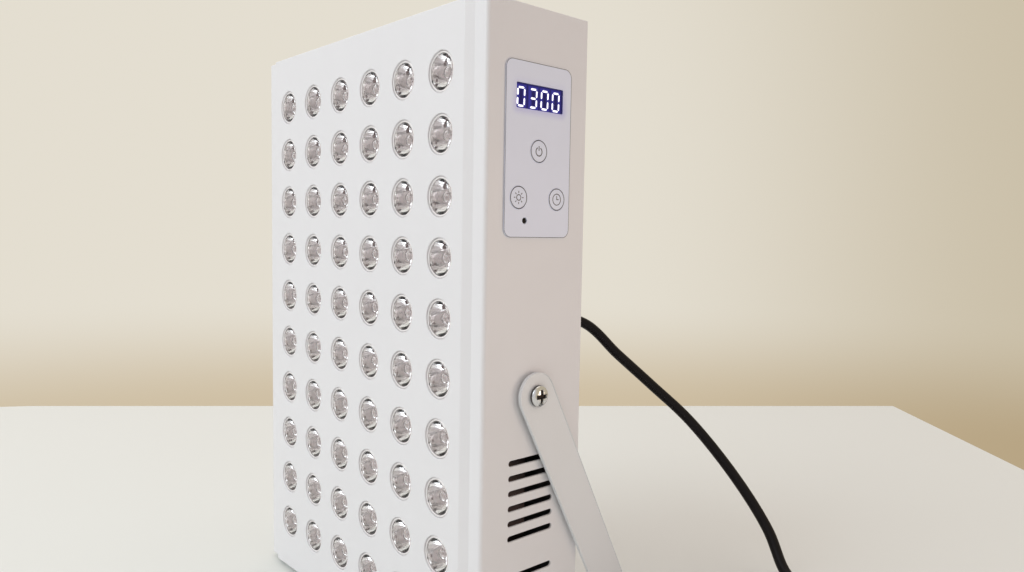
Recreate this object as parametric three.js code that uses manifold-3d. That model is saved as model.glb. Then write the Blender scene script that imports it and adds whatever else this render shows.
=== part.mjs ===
import * as THREE from 'three'
import Module from 'manifold-3d'

const wasm = await Module()
wasm.setup()

// All lengths are in millimetres. X runs to the right, Y to the back and Z up.

// General fits
const seatGap = 0.25
const cutOver = 1

// Housing
const housingWidth = 209
const housingHeight = 310
const housingDepth = 64.5
const sheet = 1.2
const borderWidth = 8.2
const stepRun = 4.6
const stepDepth = 2.35
const bendRadius = 2
const lipWidth = 10

// Light grid
const columns = 6
const rows = 10
const sideMargin = 29.5
const endMargin = 29
const holeRadius = 9.4
const holeSides = 14

// Lenses
const lensClearance = 0.4
const lensRecess = 0.5
const lensBaseRadius = 5
const lensSides = 10
const carrierWidth = 3
const carrierThickness = 1.2

// LED board
const lightDepth = 13
const boardThickness = 1.6
const boardMargin = 10
const emitterSize = 3.5
const emitterHeight = 1.2

// Heat sink
const heatBase = 3
const heatSideRoom = 8.3
const heatEndRoom = 10.8
const finCount = 16
const finThickness = 1.6
const leadFinGap = 1
const finAir = 5.4
const postRadius = 2
const postRoom = 1
const postInset = 8

// Side slots
const slotLength = 28.4
const slotHeight = 2.8
const slotPitch = 7.05
const slotsInGroup = 6
const slotGroups = 2
const slotGroupPitch = 53.8
const lowestSlot = 15.2
const slotCentreY = 0.5
const slotEndSides = 2

// Mains inlet
const inletRise = 3
const inletFlangeWidth = 31
const inletFlangeHeight = 24.4
const inletFlangeThickness = 2
const inletBodyWidth = 27.2
const inletBodyHeight = 20
const inletDepth = 20
const inletCavityWidth = 24.6
const inletCavityHeight = 16.8
const inletCavityDepth = 16.5
const inletFit = 0.3
const inletPinWidth = 2
const inletPinHeight = 4
const inletPinLength = 13
const inletPinSpacing = 14
const inletEarthRise = 4
const inletCorner = 2

// Cord connector
const connectorWidth = 27.6
const connectorHeight = 20.6
const connectorLength = 24
const connectorCorner = 3.5
const insertLength = 15.5
const insertFit = 0.4
const insertCorner = 1.2
const socketDepth = 13.2
const connectorReliefLength = 26

// Strain reliefs
const reliefBaseRadius = 7.5
const reliefTipRadius = 3.9
const reliefGrooves = 2
const reliefGrooveDepth = 0.8
const reliefSides = 8

// Rear cover
const coverClearance = 0.3
const coverOpeningInset = 2.5
const screwShankRadius = 1.5
const screwHeadRadius = 2.8
const screwHeadHeight = 1.9
const screwLength = 6
const screwSides = 8

// Fans
const fanSize = 80
const fanDepth = 20
const fanOffset = 81
const fanWall = 2
const fanCorner = 5
const fanSides = 20
const hubRadius = 14
const hubBaseThickness = 2
const strutWidth = 3
const tipGap = 1
const rotorRoom = 1
const bladeCount = 7
const bladeThickness = 1.2
const bladeChord = 13
const bladeTurn = 35

// Fan guards
const guardThickness = 1.6
const guardRingWidth = 1.8
const guardInset = 0.5
const guardMidStep = 14
const guardCentreRadius = 11
const guardSides = 16
const guardHoleInset = 4.25
const guardEarRadius = 3.6

// LED drivers
const driverFanRoom = 10
const driverRoom = 1.3
const driverAir = 0.8
const driverEndRoom = 17.8
const driverGap = 26

// Leads inside the housing
const leadRadius = 2.2
const controlLeadRadius = 1.8
const leadSides = 8
const leadHoleRoom = 0.8
const mainsRun = 16
const mainsReach = 24
const leadDepth = 9.8

// Control film, window and keys
const overlayWidth = 40.9
const overlayHeight = 77.9
const overlayThickness = 0.4
const overlayCorner = 4
const overlayTopMargin = 25
const overlayCentreY = 0.9
const windowWidth = 28.6
const windowHeight = 10.6
const windowShift = 0.4
const windowRise = 23.7
const windowThickness = 1.6
const keyRadius = 5.1
const keyProud = 0.1
const keyFlangeRadius = 6.2
const keyFlangeThickness = 1
const keyTravel = 0.3
const keySpacing = 24
const lowKeyDrop = 21.2
const keySides = 16
const sensorOffset = -8.1
const sensorDrop = 31.4
const sensorRadius = 1.2
const sensorBodySize = 5
const sensorBodyHeight = 3

// Control board and what it carries
const switchSize = 6.2
const switchHeight = 2.6
const plungerRadius = 1.6
const plungerLength = 0.9
const plungerRoom = 0.05
const controlBoardWidth = 36
const controlBoardHeight = 74
const controlPostRadius = 1.8
const controlPostInset = 3
const chipSize = 10
const chipHeight = 1.6
const displayInset = 0.5

// Stand
const pivotHeight = 134.5
const pivotY = 0.7
const standLean = 27.6
const armWidth = 21.6
const armFootWidth = 19.8
const standPlate = 2
const standBend = 4
const armEndSides = 12
const bendSides = 4
const padLength = 20
const padWidth = 15
const padThickness = 2
const padInset = 14

// Pivot screws and washers
const pivotShankRadius = 2.5
const pivotHeadRadius = 5.1
const pivotHeadHeight = 2.6
const pivotHeadEdge = 0.8
const pivotCrownShare = 0.8
const pivotTopShare = 0.45
const pivotSides = 12
const recessWidth = 1.2
const recessLength = 5.4
const recessDepth = 1.5
const washerRadius = 9
const washerThickness = 1
const weldNutRadius = 6
const weldNutLength = 5.5
const weldNutSides = 6
const pivotShankOver = 0.5

// Feet
const footHeight = 2.5
const footRadius = 6
const footInsetX = 24
const footInsetY = 12
const footSides = 12

// Mains cord
const cordRadius = 3.3
const cordSides = 8
const cordSteps = 20
const cordStraight = 7
const coilTurns = 6
const coilOuterRadius = 50.5
const coilPitch = 7.4
const coilRise = 7.4
const coilStepsPerTurn = 24
const coilSides = 6
const coilStartX = 186.3
const coilStartY = 164.1
const coilHeading = -21
const plugLead = 14
const tieWidth = 12
const tieThickness = 0.8
const tieCorner = 3
const tieRoom = 1

// Mains plug
const plugWidth = 27
const plugLength = 36
const plugCorner = 5
const plugReliefLength = 34
const bladeSpacing = 12.7
const plugBladeWidth = 6.35
const plugBladeThickness = 1.5
const plugBladeLength = 16
const plugPocketDepth = 4
const plugBladeRise = 5.4
const groundPinDrop = 11.9
const groundPinRadius = 2.38
const groundPinLength = 18.5
const groundPinSides = 10

// Places that follow from the sizes
const halfWidth = housingWidth / 2
const frontY = -housingDepth / 2
const rearY = housingDepth / 2
const innerHalfWidth = halfWidth - sheet
const sheetBackY = frontY + sheet
const fieldHalfWidth = halfWidth - borderWidth - stepRun
const borderY = frontY + stepDepth
const columnPitch = (housingWidth - 2 * sideMargin) / (columns - 1)
const rowPitch = (housingHeight - 2 * endMargin) / (rows - 1)
const columnX = (column) => sideMargin - halfWidth + column * columnPitch
const rowZ = (row) => housingHeight - endMargin - row * rowPitch
const boardFrontY = sheetBackY + lightDepth
const boardBackY = boardFrontY + boardThickness
const emitterFrontY = boardFrontY - emitterHeight
const heatFrontY = boardBackY + seatGap
const heatBaseY = heatFrontY + heatBase
const coverBackY = rearY - sheet
const lipRearY = coverBackY - seatGap
const lipFrontY = lipRearY - sheet
const fanRearY = coverBackY - seatGap
const fanFrontY = fanRearY - fanDepth
const finRearY = fanFrontY - finAir
const heatHalfWidth = innerHalfWidth - heatSideRoom
const heatBottom = sheet + heatEndRoom
const heatTop = housingHeight - heatBottom
const boardHalfWidth = halfWidth - sideMargin + boardMargin
const inletZ = housingHeight / 2 + inletRise
const fanOpeningRadius = fanSize / 2 - coverOpeningInset
const fanBoreRadius = fanSize / 2 - fanWall
const guardRadius = fanSize / 2 - guardInset
const guardMidRadius = guardRadius - guardMidStep
const guardHolePattern = fanSize - 2 * guardHoleInset
const driverLeft = -(innerHalfWidth - lipWidth - driverRoom)
const driverRight = -(fanSize / 2 + driverFanRoom)
const driverFrontY = finRearY + driverAir
const leadY = fanRearY - leadDepth
const overlayZ = housingHeight - overlayTopMargin - overlayHeight / 2
const overlayX = halfWidth + seatGap
const overlayFaceX = overlayX + overlayThickness
const windowY = overlayCentreY + windowShift
const windowZ = overlayZ + windowRise
const keyBackX = innerHalfWidth - seatGap - keyFlangeThickness
const controlFaceX = keyBackX - keyTravel - plungerRoom - plungerLength - switchHeight - seatGap
const controlBackX = controlFaceX - boardThickness
const lowKeyZ = overlayZ - lowKeyDrop
const keyPlaces = {
  power: [overlayCentreY, overlayZ],
  mode: [overlayCentreY - keySpacing / 2, lowKeyZ],
  time: [overlayCentreY + keySpacing / 2, lowKeyZ]
}
const sensorY = overlayCentreY + sensorOffset
const sensorZ = overlayZ - sensorDrop
const washerX = halfWidth + seatGap
const armInnerX = washerX + washerThickness + seatGap
const armOuterX = armInnerX + standPlate
const pivotHeadX = armOuterX + seatGap
const lean = THREE.MathUtils.degToRad(standLean)
const pivotAboveTable = pivotHeight + footHeight
const padReach = (pivotAboveTable - padWidth / 2 * Math.sin(lean)) / Math.cos(lean)
const standReach = padReach - padThickness - seatGap
const standRearY = pivotY + standReach * Math.sin(lean) + armFootWidth / 2 * Math.cos(lean)
const footprintCentreY = (frontY + standRearY) / 2
const inletFaceY = rearY + seatGap + inletFlangeThickness
const connectorY = inletFaceY + seatGap
const connectorEndY = connectorY + connectorLength + connectorReliefLength
const coilBottomZ = tieThickness + seatGap + cordRadius - footHeight
const coilTopZ = coilBottomZ + coilRise
const plugHalfHeight = coilTopZ + footHeight

// Conversion between three.js geometry and solids

const mergeSteps = 10000

function solid(geometry) {
  const position = geometry.getAttribute('position')
  const count = geometry.index ? geometry.index.count : position.count
  const found = new Map()
  const points = []
  const corner = (i) => {
    const vertex = geometry.index ? geometry.index.getX(i) : i
    const point = [position.getX(vertex), position.getY(vertex), position.getZ(vertex)]
    const key = point.map((value) => Math.round(value * mergeSteps)).join()
    if (!found.has(key)) {
      found.set(key, found.size)
      points.push(...point)
    }
    return found.get(key)
  }
  const triangles = []
  let volume = 0
  const at = (vertex) => new THREE.Vector3().fromArray(points, 3 * vertex)
  for (let i = 0; i < count; i += 3) {
    const [a, b, c] = [corner(i), corner(i + 1), corner(i + 2)]
    if (a !== b && b !== c && c !== a) {
      triangles.push([a, b, c])
      volume += at(a).dot(at(b).cross(at(c)))
    }
  }
  const order = volume < 0 ? ([a, b, c]) => [a, c, b] : (triangle) => triangle
  return new wasm.Manifold(new wasm.Mesh({
    numProp: 3,
    vertProperties: new Float32Array(points),
    triVerts: new Uint32Array(triangles.flatMap(order))
  }))
}

function bufferGeometry(body) {
  const mesh = body.getMesh()
  const geometry = new THREE.BufferGeometry()
  geometry.setAttribute('position', new THREE.BufferAttribute(new Float32Array(mesh.vertProperties), 3))
  geometry.setIndex(new THREE.BufferAttribute(new Uint32Array(mesh.triVerts), 1))
  const flat = geometry.toNonIndexed()
  flat.computeVertexNormals()
  return flat
}

// Outlines in a plane

function arc(u, v, radius, from, to, sides) {
  const points = []
  for (let i = 0; i <= sides; i++) {
    const angle = from + (to - from) * i / sides
    points.push([u + radius * Math.cos(angle), v + radius * Math.sin(angle)])
  }
  return points
}

function circle(u, v, radius, sides) {
  return arc(u, v, radius, 0, 2 * Math.PI, sides).slice(0, sides)
}

function roundedRectangle(u, v, width, height, radius, sides) {
  const corners = [[1, 1], [-1, 1], [-1, -1], [1, -1]]
  return corners.flatMap(([du, dv], i) => {
    const from = i * Math.PI / 2
    const cu = u + du * (width / 2 - radius)
    const cv = v + dv * (height / 2 - radius)
    return arc(cu, cv, radius, from, from + Math.PI / 2, sides)
  })
}

// Solids from three.js geometry

const axisTurn = {
  x: new THREE.Matrix4().makeBasis(
    new THREE.Vector3(0, 1, 0), new THREE.Vector3(0, 0, 1), new THREE.Vector3(1, 0, 0)
  ),
  y: new THREE.Matrix4().makeBasis(
    new THREE.Vector3(1, 0, 0), new THREE.Vector3(0, 0, 1), new THREE.Vector3(0, -1, 0)
  ),
  z: new THREE.Matrix4()
}

function vectors(points) {
  return points.map(([u, v]) => new THREE.Vector2(u, v))
}

function extrude(axis, outline, from, to, holes = []) {
  const shape = new THREE.Shape(vectors(outline))
  shape.holes = holes.map((hole) => new THREE.Path(vectors(hole)))
  const geometry = new THREE.ExtrudeGeometry(shape, { depth: to - from, bevelEnabled: false })
  geometry.applyMatrix4(axisTurn[axis])
  const start = { x: [from, 0, 0], y: [0, to, 0], z: [0, 0, from] }[axis]
  geometry.translate(...start)
  return solid(geometry)
}

function rod(axis, u, v, radius, from, to, sides) {
  return extrude(axis, circle(u, v, radius, sides), from, to)
}

function block(x, y, z) {
  const spans = [x, y, z]
  const sizes = spans.map(([low, high]) => high - low)
  const geometry = new THREE.BoxGeometry(...sizes)
  geometry.translate(...spans.map(([low, high]) => (low + high) / 2))
  return solid(geometry)
}

function turned(points, sides) {
  return solid(new THREE.LatheGeometry(vectors(points), sides))
}

function join(bodies) {
  return wasm.Manifold.union(bodies)
}

function around(middle, size) {
  return [middle - size / 2, middle + size / 2]
}

// Model

const part = new THREE.Group()
part.name = 'light_panel'

function add(name, body, look) {
  const placed = body.translate([0, -footprintCentreY, footHeight])
  const mesh = new THREE.Mesh(bufferGeometry(placed), new THREE.MeshStandardMaterial(look))
  mesh.name = name
  part.add(mesh)
}

const looks = {
  coating: { color: 0xe6e5e3, roughness: 0.5, metalness: 0.1 },
  lens: { color: 0xd9d7d2, roughness: 0.1, metalness: 0, transparent: true, opacity: 0.6 },
  board: { color: 0xf0efe8, roughness: 0.6, metalness: 0 },
  aluminium: { color: 0xa9a6a0, roughness: 0.4, metalness: 1 },
  driver: { color: 0xb8b8ba, roughness: 0.4, metalness: 1 },
  fan: { color: 0x151517, roughness: 0.5, metalness: 0 },
  guard: { color: 0x222224, roughness: 0.4, metalness: 0.6 },
  steel: { color: 0xc8c8c6, roughness: 0.25, metalness: 1 },
  film: { color: 0xc9c6cc, roughness: 0.35, metalness: 0 },
  window: { color: 0x352d78, roughness: 0.15, metalness: 0 },
  circuit: { color: 0x1c5c38, roughness: 0.5, metalness: 0 },
  module: { color: 0x18181c, roughness: 0.4, metalness: 0 },
  rubber: { color: 0x1b1b1c, roughness: 0.7, metalness: 0 },
  nylon: { color: 0xe8e6df, roughness: 0.5, metalness: 0 },
  brass: { color: 0xc9a25a, roughness: 0.3, metalness: 1 },
  cord: { color: 0x121213, roughness: 0.45, metalness: 0 }
}

// Front shell

function shellOutline(inset, rear) {
  const slope = Math.atan2(stepDepth, stepRun)
  const shift = inset * Math.tan(slope / 2)
  const bend = bendRadius - inset
  const corner = halfWidth - bendRadius
  const right = [
    [fieldHalfWidth - shift, frontY + inset],
    [fieldHalfWidth + stepRun - shift, borderY + inset],
    ...arc(corner, borderY + bendRadius, bend, -Math.PI / 2, 0, bendSides),
    [halfWidth - inset, rear]
  ]
  const left = right.map(([x, y]) => [-x, y]).reverse()
  return [...right, ...left]
}

function frontShell() {
  const outer = extrude('z', shellOutline(0, rearY), 0, housingHeight)
  const hollow = extrude('z', shellOutline(sheet, rearY + cutOver), sheet, housingHeight - sheet)
  const lipOuter = [housingWidth - sheet, housingHeight - sheet]
  const lipInner = lipOuter.map((size) => size - sheet - 2 * lipWidth)
  const lipHeight = housingHeight / 2
  const lipRing = roundedRectangle(0, lipHeight, ...lipOuter, 0, 1)
  const lipOpening = roundedRectangle(0, lipHeight, ...lipInner, 0, 1)
  const lip = extrude('y', unique(lipRing), lipFrontY, lipRearY, [unique(lipOpening)])
  const postX = boardHalfWidth + postRoom + postRadius
  const postHeights = [heatBottom + postInset, housingHeight / 2, heatTop - postInset]
  const posts = postHeights.flatMap((z) => [-postX, postX].map((x) => (
    rod('y', x, z, postRadius, sheetBackY - sheet / 2, heatFrontY - seatGap, screwSides)
  )))
  const nuts = [-1, 1].map((side) => {
    const ends = [innerHalfWidth - weldNutLength, innerHalfWidth + sheet / 2].map((x) => side * x)
    return rod('x', pivotY, pivotHeight, weldNutRadius, ...ends.sort((a, b) => a - b), weldNutSides)
  })
  const controlPosts = [-1, 1].flatMap((v) => [-1, 1].map((h) => {
    const y = overlayCentreY + h * (controlBoardWidth / 2 - controlPostInset)
    const z = overlayZ + v * (controlBoardHeight / 2 - controlPostInset)
    const ends = [controlFaceX + seatGap, innerHalfWidth + sheet / 2]
    return rod('x', y, z, controlPostRadius, ...ends, screwSides)
  }))
  const lightHoles = []
  for (let column = 0; column < columns; column++) {
    for (let row = 0; row < rows; row++) {
      const ends = [frontY - cutOver, sheetBackY + cutOver]
      lightHoles.push(rod('y', columnX(column), rowZ(row), holeRadius, ...ends, holeSides))
    }
  }
  const slots = []
  for (let group = 0; group < slotGroups; group++) {
    for (let slot = 0; slot < slotsInGroup; slot++) {
      const z = lowestSlot + group * slotGroupPitch + slot * slotPitch
      const outline = roundedRectangle(slotCentreY, z, slotLength, slotHeight, slotHeight / 2, slotEndSides)
      slots.push(extrude('x', unique(outline), -halfWidth - cutOver, halfWidth + cutOver))
    }
  }
  const pivotEnds = [-halfWidth - cutOver, halfWidth + cutOver]
  const pivotHole = rod('x', pivotY, pivotHeight, pivotShankRadius + seatGap, ...pivotEnds, screwSides)
  const sideCut = [innerHalfWidth - cutOver, halfWidth + cutOver]
  const keyHoles = Object.values(keyPlaces).map(([y, z]) => (
    rod('x', y, z, keyRadius + seatGap, ...sideCut, keySides)
  ))
  const windowHole = block(
    sideCut,
    around(windowY, windowWidth + 2 * seatGap),
    around(windowZ, windowHeight + 2 * seatGap)
  )
  const sensorHole = rod('x', sensorY, sensorZ, sensorRadius + seatGap, ...sideCut, screwSides)
  const screwHoles = coverScrewPlaces.map(([x, z]) => (
    rod('y', x, z, screwShankRadius + seatGap, lipFrontY - cutOver, lipRearY + cutOver, screwSides)
  ))
  const cuts = [...lightHoles, ...slots, pivotHole, ...keyHoles, windowHole, sensorHole, ...screwHoles]
  return join([outer.subtract(hollow), lip, ...posts, ...nuts, ...controlPosts]).subtract(join(cuts))
}

function unique(points) {
  return points.filter(([u, v], i) => {
    const [pu, pv] = points[(i + points.length - 1) % points.length]
    return Math.hypot(u - pu, v - pv) * mergeSteps > 1
  })
}

const screwX = innerHalfWidth - lipWidth / 2
const coverScrewPlaces = [-screwX, screwX].flatMap((x) => (
  [sheet + lipWidth / 2, housingHeight - sheet - lipWidth / 2].map((z) => [x, z])
))

add('front_shell', frontShell(), looks.coating)

// Lenses

const lensRadius = holeRadius - lensClearance
const lensFrontY = frontY + lensRecess
const carrierFrontY = sheetBackY + seatGap
const carrierBackY = carrierFrontY + carrierThickness
const lensBaseY = emitterFrontY - seatGap
const lens = turned([
  [0, lensFrontY],
  [lensRadius, lensFrontY],
  [lensRadius, carrierBackY],
  [lensBaseRadius, lensBaseY],
  [0, lensBaseY]
], lensSides).rotate([0, 180 / lensSides, 0])

for (let row = 0; row < rows; row++) {
  const lenses = []
  for (let column = 0; column < columns; column++) {
    lenses.push(lens.translate([columnX(column), 0, rowZ(row)]))
  }
  const carrier = block(
    [columnX(0), columnX(columns - 1)],
    [carrierFrontY, carrierBackY],
    around(rowZ(row), carrierWidth)
  )
  add(`lens_row_${String(row + 1).padStart(2, '0')}`, join([...lenses, carrier]), looks.lens)
}

// LED board and heat sink

const finPitch = (2 * heatHalfWidth - finThickness) / (finCount - 1)
const leadX = (finThickness + finPitch) / 2 - heatHalfWidth + leadFinGap * finPitch
const leadHole = (from, to) => rod('y', leadX, inletZ, leadRadius + leadHoleRoom, from, to, screwSides)

function ledBoard() {
  const bottom = endMargin - boardMargin
  const plate = block(
    [-boardHalfWidth, boardHalfWidth],
    [boardFrontY, boardBackY],
    [bottom, housingHeight - bottom]
  )
  const emitters = []
  for (let column = 0; column < columns; column++) {
    for (let row = 0; row < rows; row++) {
      emitters.push(block(
        around(columnX(column), emitterSize),
        [emitterFrontY, boardFrontY + boardThickness / 2],
        around(rowZ(row), emitterSize)
      ))
    }
  }
  return join([plate, ...emitters])
}

function heatSink() {
  const outline = [[heatHalfWidth, heatFrontY]]
  for (let fin = finCount - 1; fin >= 0; fin--) {
    const left = -heatHalfWidth + fin * finPitch
    const right = left + finThickness
    outline.push([right, finRearY], [left, finRearY])
    if (fin > 0) {
      outline.push([left, heatBaseY], [left - finPitch + finThickness, heatBaseY])
    }
  }
  outline.push([-heatHalfWidth, heatFrontY])
  const comb = extrude('z', outline, heatBottom, heatTop)
  return comb.subtract(leadHole(heatFrontY - cutOver, heatBaseY + cutOver))
}

add('led_board', ledBoard(), looks.board)
add('heat_sink', heatSink(), looks.aluminium)

// Rear cover and its screws

const fanHeights = { lower: inletZ - fanOffset, upper: inletZ + fanOffset }

function rearCover() {
  const width = 2 * (innerHalfWidth - coverClearance)
  const height = housingHeight - 2 * (sheet + coverClearance)
  const outline = unique(roundedRectangle(0, housingHeight / 2, width, height, 0, 1))
  const cutEnds = [coverBackY - cutOver, rearY + cutOver]
  const openings = Object.values(fanHeights).map((z) => (
    rod('y', 0, z, fanOpeningRadius, ...cutEnds, fanSides)
  ))
  const inletCut = block(
    around(0, inletBodyWidth + 2 * inletFit),
    cutEnds,
    around(inletZ, inletBodyHeight + 2 * inletFit)
  )
  const screwHoles = coverScrewPlaces.map(([x, z]) => (
    rod('y', x, z, screwShankRadius + seatGap, ...cutEnds, screwSides)
  ))
  return extrude('y', outline, coverBackY, rearY).subtract(join([...openings, inletCut, ...screwHoles]))
}

add('rear_cover', rearCover(), looks.coating)

coverScrewPlaces.forEach(([x, z], i) => {
  const headY = rearY + seatGap
  const head = rod('y', x, z, screwHeadRadius, headY, headY + screwHeadHeight, screwSides)
  const shank = rod('y', x, z, screwShankRadius, headY - screwLength, headY + screwHeadHeight / 2, screwSides)
  add(`cover_screw_${i + 1}`, join([head, shank]), looks.steel)
})

// Fans and guards

function fanFrame(z) {
  const outline = roundedRectangle(0, z, fanSize, fanSize, fanCorner, 2)
  const bore = circle(0, z, fanBoreRadius, fanSides)
  const ring = extrude('y', outline, fanFrontY, fanRearY, [bore])
  const baseEnds = [fanRearY - hubBaseThickness, fanRearY]
  const hub = rod('y', 0, z, hubRadius, ...baseEnds, fanSides)
  const strutLength = fanBoreRadius + fanSize / 2
  const struts = [
    block(around(0, strutLength), baseEnds, around(z, strutWidth)),
    block(around(0, strutWidth), baseEnds, around(z, strutLength))
  ]
  return join([ring, hub, ...struts])
}

function fanRotor(z) {
  const rotorFrontY = fanFrontY + rotorRoom
  const rotorRearY = fanRearY - hubBaseThickness - seatGap
  const middle = (rotorFrontY + rotorRearY) / 2
  const hub = rod('y', 0, 0, hubRadius, rotorFrontY, rotorRearY, fanSides)
  const blades = []
  for (let i = 0; i < bladeCount; i++) {
    const reach = fanBoreRadius - tipGap
    const blade = block([hubRadius / 2, reach], around(0, bladeChord), around(0, bladeThickness))
    const pitched = blade.rotate([bladeTurn, 0, 0]).translate([0, middle, 0])
    blades.push(pitched.rotate([0, 360 * i / bladeCount, 0]))
  }
  const swept = rod('y', 0, 0, fanBoreRadius - tipGap, rotorFrontY, rotorRearY, fanSides)
  return join([hub, ...blades]).intersect(swept).translate([0, 0, z])
}

function fanGuard(z) {
  const guardY = rearY + seatGap
  const ends = [guardY, guardY + guardThickness]
  const ring = (radius) => extrude(
    'y',
    circle(0, z, radius, guardSides),
    ...ends,
    [circle(0, z, radius - guardRingWidth, guardSides)]
  )
  const centre = rod('y', 0, z, guardCentreRadius, ...ends, guardSides)
  const ears = [-1, 1].flatMap((u) => [-1, 1].map((v) => (
    rod('y', u * guardHolePattern / 2, z + v * guardHolePattern / 2, guardEarRadius, ...ends, screwSides)
  )))
  const armLength = guardHolePattern * Math.SQRT2
  const arm = block(around(0, armLength), ends, around(0, guardRingWidth))
  const arms = [45, 135].map((angle) => arm.rotate([0, angle, 0]).translate([0, 0, z]))
  return join([ring(guardRadius), ring(guardMidRadius), centre, ...ears, ...arms])
}

for (const [place, z] of Object.entries(fanHeights)) {
  add(`fan_frame_${place}`, fanFrame(z), looks.fan)
  add(`fan_rotor_${place}`, fanRotor(z), looks.fan)
  add(`fan_guard_${place}`, fanGuard(z), looks.guard)
}

// LED drivers and inner leads

const driverSpans = {
  lower: [driverEndRoom, inletZ - driverGap / 2],
  upper: [inletZ + driverGap / 2, housingHeight - driverEndRoom]
}

for (const [place, span] of Object.entries(driverSpans)) {
  add(`led_driver_${place}`, block([driverLeft, driverRight], [driverFrontY, fanRearY], span), looks.driver)
}

function mainsHarness() {
  const start = -(inletBodyWidth / 2 + seatGap)
  const bendX = start - mainsRun
  const inner = rod('x', leadY, inletZ, leadRadius, bendX - leadRadius, start, leadSides)
  const reach = [inletZ - mainsReach, inletZ + mainsReach]
  const riser = rod('z', bendX, leadY, leadRadius, reach[0] - leadRadius, reach[1] + leadRadius, leadSides)
  const outer = reach.map((z) => (
    rod('x', leadY, z, leadRadius, driverRight + seatGap, bendX + leadRadius, leadSides)
  ))
  return join([inner, riser, ...outer])
}

function ledHarness() {
  const gapHalf = driverGap / 2 - seatGap
  const riser = rod('z', leadX, leadY, leadRadius, inletZ - gapHalf, inletZ + gapHalf, leadSides)
  const run = rod('y', leadX, inletZ, leadRadius, boardBackY + seatGap, leadY + leadRadius, leadSides)
  return join([riser, run])
}

const controlLeadY = (finRearY + fanFrontY) / 2
const controlLead = rod(
  'x', controlLeadY, overlayZ, controlLeadRadius, driverRight + seatGap, controlBackX - seatGap, leadSides
)

add('mains_harness', mainsHarness(), looks.rubber)
add('led_harness', ledHarness(), looks.rubber)
add('control_lead', controlLead, looks.rubber)

// Control film, window and keys

function controlOverlay() {
  const outline = roundedRectangle(overlayCentreY, overlayZ, overlayWidth, overlayHeight, overlayCorner, 4)
  const windowWide = windowWidth + 2 * seatGap
  const windowTall = windowHeight + 2 * seatGap
  const holes = [
    unique(roundedRectangle(windowY, windowZ, windowWide, windowTall, 0, 1)),
    ...Object.values(keyPlaces).map(([y, z]) => circle(y, z, keyRadius + seatGap, keySides)),
    circle(sensorY, sensorZ, sensorRadius + seatGap, screwSides)
  ]
  return extrude('x', outline, overlayX, overlayFaceX, holes)
}

add('control_overlay', controlOverlay(), looks.film)

const windowBackX = overlayFaceX - windowThickness
const windowSpans = [around(windowY, windowWidth), around(windowZ, windowHeight)]
add('display_window', block([windowBackX, overlayFaceX], ...windowSpans), looks.window)

for (const [place, [y, z]] of Object.entries(keyPlaces)) {
  const flange = rod('x', y, z, keyFlangeRadius, keyBackX, keyBackX + keyFlangeThickness, keySides)
  const cap = rod('x', y, z, keyRadius, keyBackX, overlayFaceX + keyProud, keySides)
  add(`key_${place}`, join([flange, cap]), looks.film)
}

// Control board and what it carries

const seatX = controlFaceX + seatGap

for (const [place, [y, z]] of Object.entries(keyPlaces)) {
  const base = block([seatX, seatX + switchHeight], around(y, switchSize), around(z, switchSize))
  const plungerEnds = [seatX + switchHeight / 2, seatX + switchHeight + plungerLength]
  const plunger = rod('x', y, z, plungerRadius, ...plungerEnds, leadSides)
  add(`switch_${place}`, join([base, plunger]), looks.module)
}

function controlBoard() {
  const plate = block(
    [controlBackX, controlFaceX],
    around(overlayCentreY, controlBoardWidth),
    around(overlayZ, controlBoardHeight)
  )
  const chip = block(
    [controlFaceX - boardThickness / 2, controlFaceX + chipHeight],
    around(overlayCentreY, chipSize),
    around((overlayZ + lowKeyZ) / 2, chipSize / 2)
  )
  return join([plate, chip])
}

function infraredReceiver() {
  const body = block(
    [seatX, seatX + sensorBodyHeight],
    around(sensorY, sensorBodySize),
    around(sensorZ, sensorBodySize)
  )
  const noseEnds = [seatX + sensorBodyHeight / 2, overlayFaceX]
  const nose = rod('x', sensorY, sensorZ, sensorRadius, ...noseEnds, screwSides)
  return join([body, nose])
}

const displayModule = block(
  [seatX, windowBackX - seatGap],
  around(windowY, windowWidth - 2 * displayInset),
  around(windowZ, windowHeight - 2 * displayInset)
)

add('control_board', controlBoard(), looks.circuit)
add('display_module', displayModule, looks.module)
add('ir_receiver', infraredReceiver(), looks.module)

// Mains inlet

const pinPlaces = [
  [-inletPinSpacing / 2, inletZ - inletEarthRise / 2],
  [inletPinSpacing / 2, inletZ - inletEarthRise / 2],
  [0, inletZ + inletEarthRise / 2]
]

function powerInlet() {
  const flangeY = rearY + seatGap
  const flange = extrude(
    'y',
    roundedRectangle(0, inletZ, inletFlangeWidth, inletFlangeHeight, inletCorner, 2),
    flangeY,
    inletFaceY
  )
  const body = block(
    around(0, inletBodyWidth),
    [inletFaceY - inletFlangeThickness - inletDepth, inletFaceY - inletFlangeThickness / 2],
    around(inletZ, inletBodyHeight)
  )
  const cavityY = inletFaceY - inletCavityDepth
  const cavity = extrude(
    'y',
    roundedRectangle(0, inletZ, inletCavityWidth, inletCavityHeight, inletCorner, 2),
    cavityY,
    inletFaceY + cutOver
  )
  const pins = pinPlaces.map(([x, z]) => block(
    around(x, inletPinWidth),
    [cavityY - cutOver, cavityY + inletPinLength],
    around(z, inletPinHeight)
  ))
  return join([join([flange, body]).subtract(cavity), ...pins])
}

add('power_inlet', powerInlet(), looks.module)

// Strain relief along Y from its base at zero

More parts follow.
